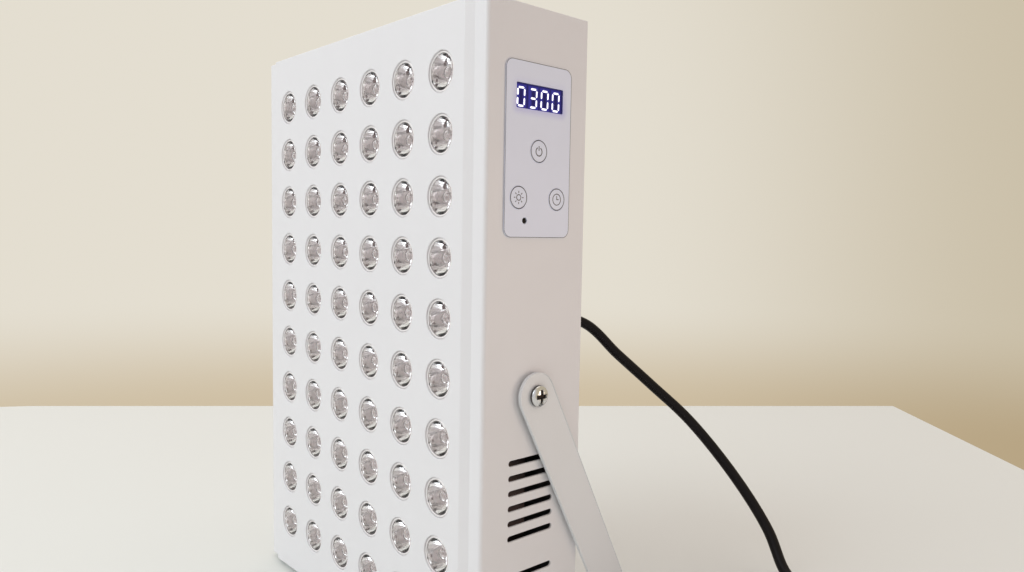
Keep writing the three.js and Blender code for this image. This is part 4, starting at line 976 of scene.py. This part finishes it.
for number, (x, z) in enumerate(screw_places, 1):
    form = Form()
    screw(form, (x, REAR_Y + GAP, z), ALONG_Y, (2.8, 1.9, 0.5), (3.2, 0.75, 1.1), (1.5, 6))
    form.piece(f"back_screw_{number}", "housing", nickel, "steel", (f"cover_screw_{number}",))


# Lenses, board and emitters

# A lens is a shallow dome, a flange and a wall that narrows with a power of the depth, round a well for the
# emitter. Its cup follows the wall at a small distance. Both are given as radius and depth.
BOARD_Y = FRONT_Y + SHEET + BOARD_DEPTH
LENS_FRONT, LENS_BASE, CARRIER_BACK = FRONT_Y + 0.5, BOARD_Y - 1.45, FRONT_Y + SHEET + 1.45
DEEP, COLLAR, CUP_GAP = LENS_BASE - LENS_FRONT, 0.9, 0.08
t = np.linspace(0, 1, 15)
dome = np.column_stack([7.7 * t, 0.1 - (1 - t ** 2)])
flange = np.array([(7.85, 0.05), (8.0, 0.05), (8.15, 0.2), (8.15, COLLAR - 0.1)])
wall = np.column_stack([3.6 + 4.5 * (1 - t) ** 0.75, COLLAR + (DEEP - COLLAR) * t])
well = np.array([(2.2, DEEP - 0.85), (2.1, DEEP - 6.3), (1.3, DEEP - 6.8), (0, DEEP - 7)])
lens_profile = np.vstack([dome, flange, wall, well])
lining = wall + (CUP_GAP, CUP_GAP)
cup_foot = [(2, DEEP + CUP_GAP), (2, DEEP + 0.4)]
cup_profile = np.vstack([lining, cup_foot, wall[::-1] + (0.35, 0.4), lining[:1]])
holder_profile = [
    (8.27, 1.0), (8.27, 0.4), (8.42, 0.08), (8.85, 0.0), (9.02, 0.14),
    (9.02, 0.76), (10.6, 0.76), (10.6, 2.6), (8.9, 2.6), (8.27, 1.0),
]
cups, holders, flange_spots, wall_spots = Form(), Form(), Form(), Form()
for row, z in enumerate(ROW_Z, 1):
    lenses = Form()
    for x in COLUMN_X:
        lenses.turned(lens_profile, (x, LENS_FRONT, z), ALONG_Y, 40)
        cups.turned(cup_profile, (x, LENS_FRONT, z), ALONG_Y, 40)
        holders.turned(holder_profile, (x, LENS_FRONT, z), ALONG_Y, 48)
        # Small dark blocks at each lens's flange and in its wall, which show as dark spots through the clear
        # lens.
        flange_spots.block((x - 7.5, LENS_FRONT, z - 3.95), (x - 6.7, LENS_FRONT + 0.6, z - 3.0), 0.15)
        wall_spots.block((x - 3.8, LENS_FRONT + 8.6, z + 3.2), (x - 2.4, LENS_FRONT + 10.0, z + 4.6), 0.3)
        wall_spots.block((x - 6.5, LENS_FRONT + 4.8, z - 3.0), (x - 5.7, LENS_FRONT + 5.8, z - 2.0), 0.2)
    for x in COLUMN_X[:-1]:
        lenses.block((x + 10.7, CARRIER_BACK - 1.2, z - 1.5), (x + 19.3, CARRIER_BACK, z + 1.5), 0.2)
    lenses.piece(f"lenses_{row:02d}", "housing", lens_clear, "lens", (f"lens_row_{row:02d}",), 50)
cups.piece("lens_cups", "housing", cup_silver, "lens")
holders.piece("lens_holders", "housing", holder_white, "lens")
flange_spots.piece("flange_dark_spots", "housing", eye_black, "lens")
wall_spots.piece("wall_dark_spots", "housing", spot_brown, "lens")

BOARD_HALF, BOARD_LOW, BOARD_TOP, BOARD_SHEET = 85, 19, 291, 1.6
board = Form()
board.block((-BOARD_HALF, BOARD_Y, BOARD_LOW), (BOARD_HALF, BOARD_Y + BOARD_SHEET, BOARD_TOP), 0.15)
board.piece("emitter_board", "housing", board_white, "board", ("led_board",))


def on_board(form, x, z, half, front, back, edge):
    """A square block on the board, given by its middle, half its width and its front and back."""
    form.block((x - half, BOARD_Y + front, z - half), (x + half, BOARD_Y + back, z + half), edge)


PACKAGE, PACKAGE_HIGH, CHIP, DOME = 1.75, 0.62, 0.55, 1.45
packages, chips, domes = Form(), Form(), Form()
angle = np.linspace(0, math.pi / 2, 6)
cap = np.column_stack([DOME * np.sin(angle), -PACKAGE_HIGH - 1.3 * np.cos(angle)])
cap = np.vstack([cap, [0, -PACKAGE_HIGH]])
for x in COLUMN_X:
    for z in ROW_Z:
        on_board(packages, x, z, PACKAGE, -PACKAGE_HIGH, 0.2, 0.1)
        on_board(chips, x, z, CHIP, -0.8, -0.55, 0.04)
        domes.turned(cap, (x, BOARD_Y, z), ALONG_Y, 16)
packages.piece("emitter_packages", "housing", emitter_body, "board", ("led_board",))
chips.piece("emitter_chips", "housing", emitter_chip, "board", ("led_board",))
domes.piece("emitter_domes", "housing", emitter_dome, "lens", ("led_board",))


# Fans and guards

FAN_SIZE, FAN_DEPTH, FAN_REAR, HUB_RADIUS, BLADES = 80, 20, LIP_REAR, 14, 7
WIRE, WIRE_Y, GUARD_RADII, HOLE_OUT = 0.8, REAR_Y + GAP + 0.8, (38.7, 31.7, 24.7, 17.7), 35.75


def fan_body(place, z):
    """Square frame with a round opening, and the motor's plate on four arms."""
    body = Form()
    half = FAN_SIZE / 2
    hole = cell((0, z), half, half, ROUND, half - 2)
    body.plate(FAN_SIZE, FAN_SIZE, (0, z), 5, [hole], plane(Y, FAN_REAR, -1), FAN_DEPTH, 0.8, 2.5)
    motor = eased([(0, 0), (HUB_RADIUS, 0), (HUB_RADIUS, -2), (0, -2)], 0.4)
    body.turned(motor, (0, FAN_REAR, z), ALONG_Y, 48)
    for u, v in ((half - 1, 1.5), (1.5, half - 1)):
        body.block((-u, FAN_REAR - 2, z - v), (u, FAN_REAR, z + v), 0.3)
    body.piece(f"fan_body_{place}", "housing", fan_plastic, "fan", (f"fan_frame_{place}",))


def fan_rotor(place, z):
    """Hub with blades. A blade's section is a thin ellipse bent along a parabola and turned by the twist at
    its radius, then wound round the axis."""
    rotor = Form()
    front, rear = FAN_REAR - FAN_DEPTH + 1, FAN_REAR - 2.25
    hub = eased([(0, front), (HUB_RADIUS, front), (HUB_RADIUS, rear), (0, rear)], 1.2)
    rotor.turned(hub, (0, 0, z), ALONG_Y, 48)
    span = np.linspace(HUB_RADIUS - 1, 36.9, 9)[:, None]
    twist = np.radians(np.linspace(46, 30, 9))[:, None]
    chord = np.linspace(11, 14.5, 9)[:, None] / 2
    ring = circle(1, 20)
    along, off = chord * ring[:, 0], 0.6 * ring[:, 1] + 0.1 * chord * (1 - ring[:, 0] ** 2)
    around = along * np.cos(twist) - off * np.sin(twist)
    y = (front + rear) / 2 + along * np.sin(twist) + off * np.cos(twist)
    for number in range(BLADES):
        angle = 2 * math.pi * number / BLADES + around / span
        blade = np.stack([span * np.cos(angle), y, z + span * np.sin(angle)], -1)
        middles = blade.mean(1, keepdims=True).repeat(len(ring), 1)
        rotor.grid(np.concatenate([middles[:1], blade, middles[-1:]]), round_second=True)
    rotor.piece(f"rotor_{place}", f"{place}_rotor", rotor_plastic, "fan", (f"fan_rotor_{place}",))


def wire_guard(place, z):
    """Wire rings round a small plate, on four spokes that end in eyes with their rivets."""
    guard = Form()
    for radius in GUARD_RADII:
        guard.tube(lifted(circle(radius, 72) + (0, z), Y, WIRE_Y), WIRE, (0, 1, 0), 8, closed=True)
    hub = eased([(0, -WIRE), (11, -WIRE), (11, WIRE), (0, WIRE)], 0.4)
    guard.turned(hub, (0, WIRE_Y, z), ALONG_Y, 48)
    eye = eased([(1.9, -WIRE), (3.6, -WIRE), (3.6, WIRE), (1.9, WIRE), (1.9, 0), (1.9, -WIRE)], 0.3)
    rivet = eased([(0, -0.7), (2.4, -0.7), (2.4, 0.5), (0, 0.8)], 0.3)
    for u in (-1, 1):
        for v in (-1, 1):
            reach = np.linspace(10, 47.5, 12)[:, None] * np.array([u, 0, v]) / math.sqrt(2)
            guard.tube(reach + (0, WIRE_Y, z), WIRE, (0, 1, 0), 8)
            end = (u * HOLE_OUT, WIRE_Y, z + v * HOLE_OUT)
            guard.turned(eye, end, ALONG_Y, 24)
            guard.turned(rivet, end, ALONG_Y, 24)
    guard.piece(f"wire_guard_{place}", "housing", guard_enamel, "guard", (f"fan_guard_{place}",))


for place, z in FAN_HEIGHTS.items():
    fan_body(place, z)
    fan_rotor(place, z)
    wire_guard(place, z)


# Mains inlet

inlet = Form()
inlet.loft(
    [(-20, 27.2, 20, 1), (0.2, 27.2, 20, 1), (0.2, 30.4, 23.8, 1.8), (0.25, 31, 24.4, 2),
     (1.9, 31, 24.4, 2), (2.25, 30.2, 23.6, 1.8), (2.25, 25.2, 17.4, 2), (1.6, 24.6, 16.8, 2),
     (-14.2, 24.6, 16.8, 2)],
    (0, REAR_Y, INLET_Z), ALONG_Y,
)
inlet.piece("inlet_socket", "housing", black_module, "module", ("power_inlet",))


# Control film, window, keys and sensor

film_low, film_high = FILM_Y - FILM_WIDE / 2 + 1.5, FILM_Y + FILM_WIDE / 2 - 1.5
film_cells = control_cells(film_low, film_high, (212.4, 216.9), 5.2)
film_skin = plane(X, FILM_FACE, -1)
overlay = Form()
overlay.plate(FILM_WIDE, FILM_HIGH, (FILM_Y, FILM_Z), FILM_CORNER, film_cells, film_skin, 0.4, 0.06, 1.0)
overlay.piece("control_film", "housing", film, "film", ("control_overlay",))

window = Form()
window.loft(
    [(-1.6, 28.2, 10.2, 0.3), (-1.5, 28.6, 10.6, 0.4), (-0.1, 28.6, 10.6, 0.4), (0, 28.4, 10.4, 0.35)],
    (FILM_FACE, *WINDOW), ALONG_X,
)
window.piece("violet_window", "housing", violet, "window", ("display_window",))

KEY_RISE, INK_RISE = 0.1, 0.03


def stroke(form, points, width, closed=False):
    """A thin raised printed line of a given width along points of a key's face."""
    section = np.array([[-1, -1], [1, -1], [1, 1], [-1, 1]]) * (width, INK_RISE) / 2
    form.sweep(lifted(points, X, FILM_FACE + KEY_RISE + INK_RISE / 2), section, (1, 0, 0), closed)


def ring_stroke(form, centre, radius, width, start=0, end=360):
    """A printed ring or a part of one, from one angle to another in degrees."""
    angle = np.radians(np.linspace(start, end, 61))
    points = np.stack([centre[0] + radius * np.cos(angle), centre[1] + radius * np.sin(angle)], -1)
    whole = end - start == 360
    stroke(form, points[:-1] if whole else points, width, whole)


cap = [(0, -3.1), (6.2, -3.1), (6.2, -2.1), (5.1, -2.1), (5.1, 0), (4.95, KEY_RISE), (0, KEY_RISE)]
for place, (y, z) in KEYS.items():
    key = Form()
    key.turned(eased(cap, 0.08, 3), (FILM_FACE, y, z), ALONG_X, 64)
    key.piece(f"key_cap_{place}", f"{place}_button", film, "film", (f"key_{place}",))

marks = {place: Form() for place in KEYS}
for place, mark in marks.items():
    ring_stroke(mark, KEYS[place], 4.88, 0.34)
y, z = KEYS["power"]
ring_stroke(marks["power"], (y, z - 0.15), 1.9, 0.45, 118, 422)
stroke(marks["power"], [(y, z + 0.3), (y, z + 2.35)], 0.45)
y, z = KEYS["mode"]
ring_stroke(marks["mode"], (y, z), 1.25, 0.36)
for angle in np.radians(np.arange(0, 360, 45)):
    ray = np.array([[2.0], [2.9]]) * (math.cos(angle), math.sin(angle))
    stroke(marks["mode"], ray + (y, z), 0.36)
y, z = KEYS["time"]
ring_stroke(marks["time"], (y, z), 2.55, 0.36)
stroke(marks["time"], [(y, z - 0.15), (y, z + 1.75)], 0.36)
stroke(marks["time"], [(y - 0.1, z), (y + 1.25, z)], 0.36)
for place, mark in marks.items():
    mark.piece(f"{place}_mark", f"{place}_button", ink, "film")

print_rings = Form()
edge_line = rounded_rectangle(FILM_WIDE - 0.3, FILM_HIGH - 0.3, FILM_CORNER - 0.15, 10) + (FILM_Y, FILM_Z)
path = lifted(edge_line, X, FILM_FACE + 0.01)
print_rings.sweep(path, rounded_rectangle(0.22, 0.02, 0.005, 1), (1, 0, 0), closed=True)
print_rings.piece("printed_rings", "housing", ink, "film")

# Each segment is given by its ends, from the middle of a digit. It is a bar with pointed ends, and the
# digits lean a little.
wide, high = DIGIT_HALF
SEGMENTS = {
    "a": ((-1.8, high), (1.8, high)),
    "b": ((wide, 3.9), (wide, 0.45)),
    "c": ((wide, -0.45), (wide, -3.9)),
    "d": ((-1.8, -high), (1.8, -high)),
    "e": ((-wide, -0.45), (-wide, -3.9)),
    "f": ((-wide, 3.9), (-wide, 0.45)),
    "g": ((-1.6, 0), (1.6, 0)),
}
LIT = {"0": "abcdef", "3": "abcdg"}
lit = Form()
for digit, middle in zip("0300", DIGIT_Y):
    for name in LIT[digit]:
        start, end = (np.array(point) * (0.96, 0.93) for point in SEGMENTS[name])
        way = (end - start) / np.linalg.norm(end - start)
        side, tip = np.array([-way[1], way[0]]) * 0.43, way * 0.45
        corners = [start, start + tip + side, end - tip + side, end, end - tip - side, start + tip - side]
        flat = np.array(corners) + (WINDOW[0] + middle, DIGITS_Z)
        flat[:, 0] += (flat[:, 1] - WINDOW[1]) * 0.04
        ring = np.stack([lifted(flat, X, FILM_FACE + x) for x in (-0.1, 0.04)])
        lit.grid(ring, round_second=True)
        lit.cap(ring[0])
        lit.cap(ring[1])
lit.piece("lit_digits", "housing", digits, "window")

sensor = Form()
eye = eased([(0, -6.5), (1.2, -6.5), (1.2, -0.3), (0, 0.0)], 0.25)
sensor.turned(eye, (FILM_FACE, *SENSOR), ALONG_X, 24)
sensor.block((98.7, SENSOR[0] - 2.5, SENSOR[1] - 2.5), (101.6, SENSOR[0] + 2.5, SENSOR[1] + 2.5), 0.3)
sensor.piece("sensor_eye", "housing", eye_black, "module", ("ir_receiver",))


# Stand

def stand_seat(points):
    """Leans points of the stand's own axes back about the pivot."""
    x, u, w = points.T
    y = PIVOT_Y + u * math.cos(LEAN) - w * math.sin(LEAN)
    z = PIVOT_Z + u * math.sin(LEAN) + w * math.cos(LEAN)
    return np.column_stack([x, y, z])


# The strap's middle line, seen from the front, runs from the right arm's round top down to the bend and
# along the crossbar to the middle. The left side is its mirror image.
REACH, ARM_TOP, ARM_FOOT, STAND_BEND, EDGE = 148.421, 10.8, 9.9, 4.0, 0.35
mid_x, mid_reach, mid_bend = ARM_INNER + PLATE / 2, REACH - PLATE / 2, STAND_BEND - PLATE / 2
round_end = np.linspace(math.pi / 2 - 0.001, 0, 16)
straight = np.linspace(1.5, mid_reach - mid_bend, 24)
down = np.concatenate([ARM_TOP * np.sin(round_end), -straight])
half = np.concatenate([ARM_TOP * np.cos(round_end), ARM_TOP + (ARM_FOOT - ARM_TOP) * straight / REACH])
bend = np.linspace(0, math.pi / 2, 9)[1:]
corner_x, corner_z = mid_x - mid_bend * (1 - np.cos(bend)), mid_bend - mid_reach - mid_bend * np.sin(bend)
bar_x = np.linspace(mid_x - mid_bend, 0, 13)[1:]
right_path = np.vstack([
    np.column_stack([np.full(len(down), mid_x), down]),
    np.column_stack([corner_x, corner_z]),
    np.column_stack([bar_x, np.full(len(bar_x), -mid_reach)]),
])
right_half = np.concatenate([half, np.full(len(bend) + len(bar_x), ARM_FOOT)])
flat_path = np.vstack([right_path, (right_path * (-1, 1))[-2::-1]])
half_width = np.concatenate([right_half, right_half[-2::-1]])
direction = np.gradient(flat_path, axis=0)
direction /= np.linalg.norm(direction, axis=1)[:, None]
normal = np.stack([direction[:, 1], -direction[:, 0]], -1)

# Across the strap, each corner of its section is a quarter turn: draw and thin are how far it lies in from
# the edge and from the face.
roll = np.linspace(0, math.pi / 2, 4)
side_in, thick_in = EDGE * (1 - np.sin(roll)), EDGE * (1 - np.cos(roll))
draw, thin = (np.concatenate([inset[::-1], inset] * 2) for inset in (side_in, thick_in))
signs = np.repeat([[1, -1], [1, 1], [-1, 1], [-1, -1]], 4, 0)
across = signs[:, 0] * np.maximum(half_width[:, None] - draw, 0)
through = signs[:, 1] * (PLATE / 2 - thin)
placed = flat_path[:, None] + normal[:, None] * through[:, None]
bracket = Form(stand_seat)
bracket.grid(np.stack([placed[..., 0], across, placed[..., 1]], -1), round_second=True)
bracket.piece("stand_strap", "stand", stand_coat, "coating", ("stand_bracket",), 40)

PAD_IN, PAD_HALF = 24, (10, 7.5)
for place, side, axes in (("left", -1, BACK_X), ("right", 1, ALONG_X)):
    pad = Form(stand_seat)
    middle = side * (ARM_INNER + PLATE - PAD_IN)
    half, wide = PAD_HALF
    pad.block((middle - half, -wide, -REACH - GAP - 2), (middle + half, wide, -REACH - GAP), 0.3)
    pad.piece(f"foot_pad_{place}", "stand", rubber_black, "rubber", (f"stand_pad_{place}",))
    bolt = Form()
    head_seat = (side * BOLT_SEAT, PIVOT_Y, PIVOT_Z)
    screw(bolt, head_seat, axes, (BOLT_RADIUS, BOLT_HEIGHT, 0.7), (6.2, 1.65, 1.6), (2.5, 10.9))
    bolt.piece(f"pivot_bolt_{place}", "housing", pivot_nickel, "steel", (f"pivot_screw_{place}",))
    ring = Form()
    section = eased([(2.75, 0.5), (2.75, 0), (9, 0), (9, 1), (2.75, 1), (2.75, 0.5)], 0.2)
    ring.turned(section, (side * (HALF_WIDTH + GAP), PIVOT_Y, PIVOT_Z), axes, 48)
    ring.piece(f"washer_{place}", "housing", nylon_white, "nylon", (f"pivot_washer_{place}",))


# Feet

FOOT_X, FOOT_Y = 80.5, 20.25
foot_places = [(x, y) for y in (-FOOT_Y, FOOT_Y) for x in (-FOOT_X, FOOT_X)]
foot_profile = eased([
    (0, -GAP), (5.4, -GAP), (6, -0.6), (5.7, -FOOT_HEIGHT), (2.4, -FOOT_HEIGHT), (2.2, -2.0), (0, -2.0),
], 0.3)
for number, (x, y) in enumerate(foot_places, 1):
    foot = Form()
    foot.turned(foot_profile, (x, y, 0), ALONG_Z, 40)
    foot.piece(f"rubber_foot_{number}", "housing", rubber_black, "rubber", (f"foot_{number}",))


# Inner pieces that keep their solids

kept = {
    "heat_sink": extruded, "led_driver_lower": case_metal, "led_driver_upper": case_metal,
    "mains_harness": lead_black, "led_harness": lead_black, "control_lead": lead_black,
    "switch_power": black_module, "switch_mode": black_module, "switch_time": black_module,
    "control_board": circuit_green, "display_module": black_module,
}
for name, finish in kept.items():
    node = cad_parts[name]
    node.data.materials.clear()
    node.data.materials.append(finish.material)


# Table, surroundings and light

table_finish = Finish("table_top", (0.77, 0.795, 0.77), 0.55)
cloud = table_finish.noise(160, 3)
table_finish.vary(cloud * 0.4, (0.745, 0.765, 0.735))
table_finish.bump(table_finish.noise(1.2, 2), 0.02)
# The corners of the table's top, in an order that goes once round it
corners = np.array([(-1100, -830), (-671, -88), (-25, 738), (420, 305), (1250, -500), (350, -1250)], float)
table_mesh = bpy.data.meshes.new("table")
TABLE_THICKNESS = 28
top, bottom = (lifted(corners, Z, height) for height in (0, -TABLE_THICKNESS))
table_faces = [list(range(5, -1, -1)), list(range(6, 12))]
table_faces += [[i, (i + 1) % 6, 6 + (i + 1) % 6, 6 + i] for i in range(6)]
table_mesh.from_pydata((np.vstack([top, bottom]) / 1000).tolist(), [], table_faces)
table_mesh.materials.append(table_finish.material)
table = bpy.data.objects.new("table", table_mesh)
bpy.context.collection.objects.link(table)

world = bpy.data.worlds.new("room")
bpy.context.scene.world = world
world.use_nodes = True
tree = world.node_tree
tree.nodes.clear()

# The wall and floor of the room are seen straight, in reflections and through the lenses. Everything else
# gets one even warm light from all sides.
ray = add_node(tree, "ShaderNodeLightPath").outputs
seen = ray["Is Camera Ray"]
for kind in ("Is Glossy Ray", "Is Transmission Ray"):
    seen = add_node(tree, "ShaderNodeMath", {"operation": "MAXIMUM"}, {0: seen, 1: ray[kind]}).outputs[0]
source = add_node(tree, "ShaderNodeTexCoord").outputs["Generated"]
way = add_node(tree, "ShaderNodeSeparateXYZ", None, {0: source}).outputs
# Painted shadow: towards the bottom, near the table's far edge, the wall turns a darker tan. The wall also
# grows darker towards the left.
low = mix(tree, smooth_step(tree, way["Z"], -0.225, -0.085), (0.62, 0.52, 0.37), (0.775, 0.73, 0.635))
wall = mix(tree, smooth_step(tree, way["X"], -0.67, -0.2), low, (0.77, 0.722, 0.63), "MULTIPLY")
room = mix(tree, smooth_step(tree, way["Y"], 0.05, -0.5), wall, (0.72, 0.71, 0.72))
colour = mix(tree, seen, (0.60, 0.525, 0.485), room)
background = add_node(tree, "ShaderNodeBackground", None, {"Color": colour, "Strength": 1.0})
add_node(tree, "ShaderNodeOutputWorld", None, {0: background.outputs[0]})


def lamp(name, place, target, size, power, colour):
    """A square soft lamp at a place, turned to a target."""
    data = bpy.data.lights.new(name, "AREA")
    data.shape, data.size, data.energy, data.color = "SQUARE", size, power, colour
    light = bpy.data.objects.new(name, data)
    bpy.context.collection.objects.link(light)
    z = np.asarray(place, float) - target
    z /= np.linalg.norm(z)
    x = np.cross((0, 0, 1), z)
    x /= np.linalg.norm(x)
    y = np.cross(z, x)
    rows = [(x[i], y[i], z[i], place[i]) for i in range(3)]
    light.matrix_world = Matrix((*rows, (0, 0, 0, 1)))


lamp("window_light", (-0.5, -1.75, 1.5), (0, 0, 0.2), 1.6, 25.5, (0.835, 0.938, 0.985))
lamp("ceiling_light", (-0.6, 0.5, 2.3), (0, 0, 0), 2.4, 16, (1.0, 0.985, 0.965))
lamp("side_light", (1.15, 0.75, 0.12), (0, 0, 0.05), 0.5, 2.0, (1.0, 0.785, 0.645))

scene = bpy.context.scene
scene.view_settings.view_transform = "Standard"
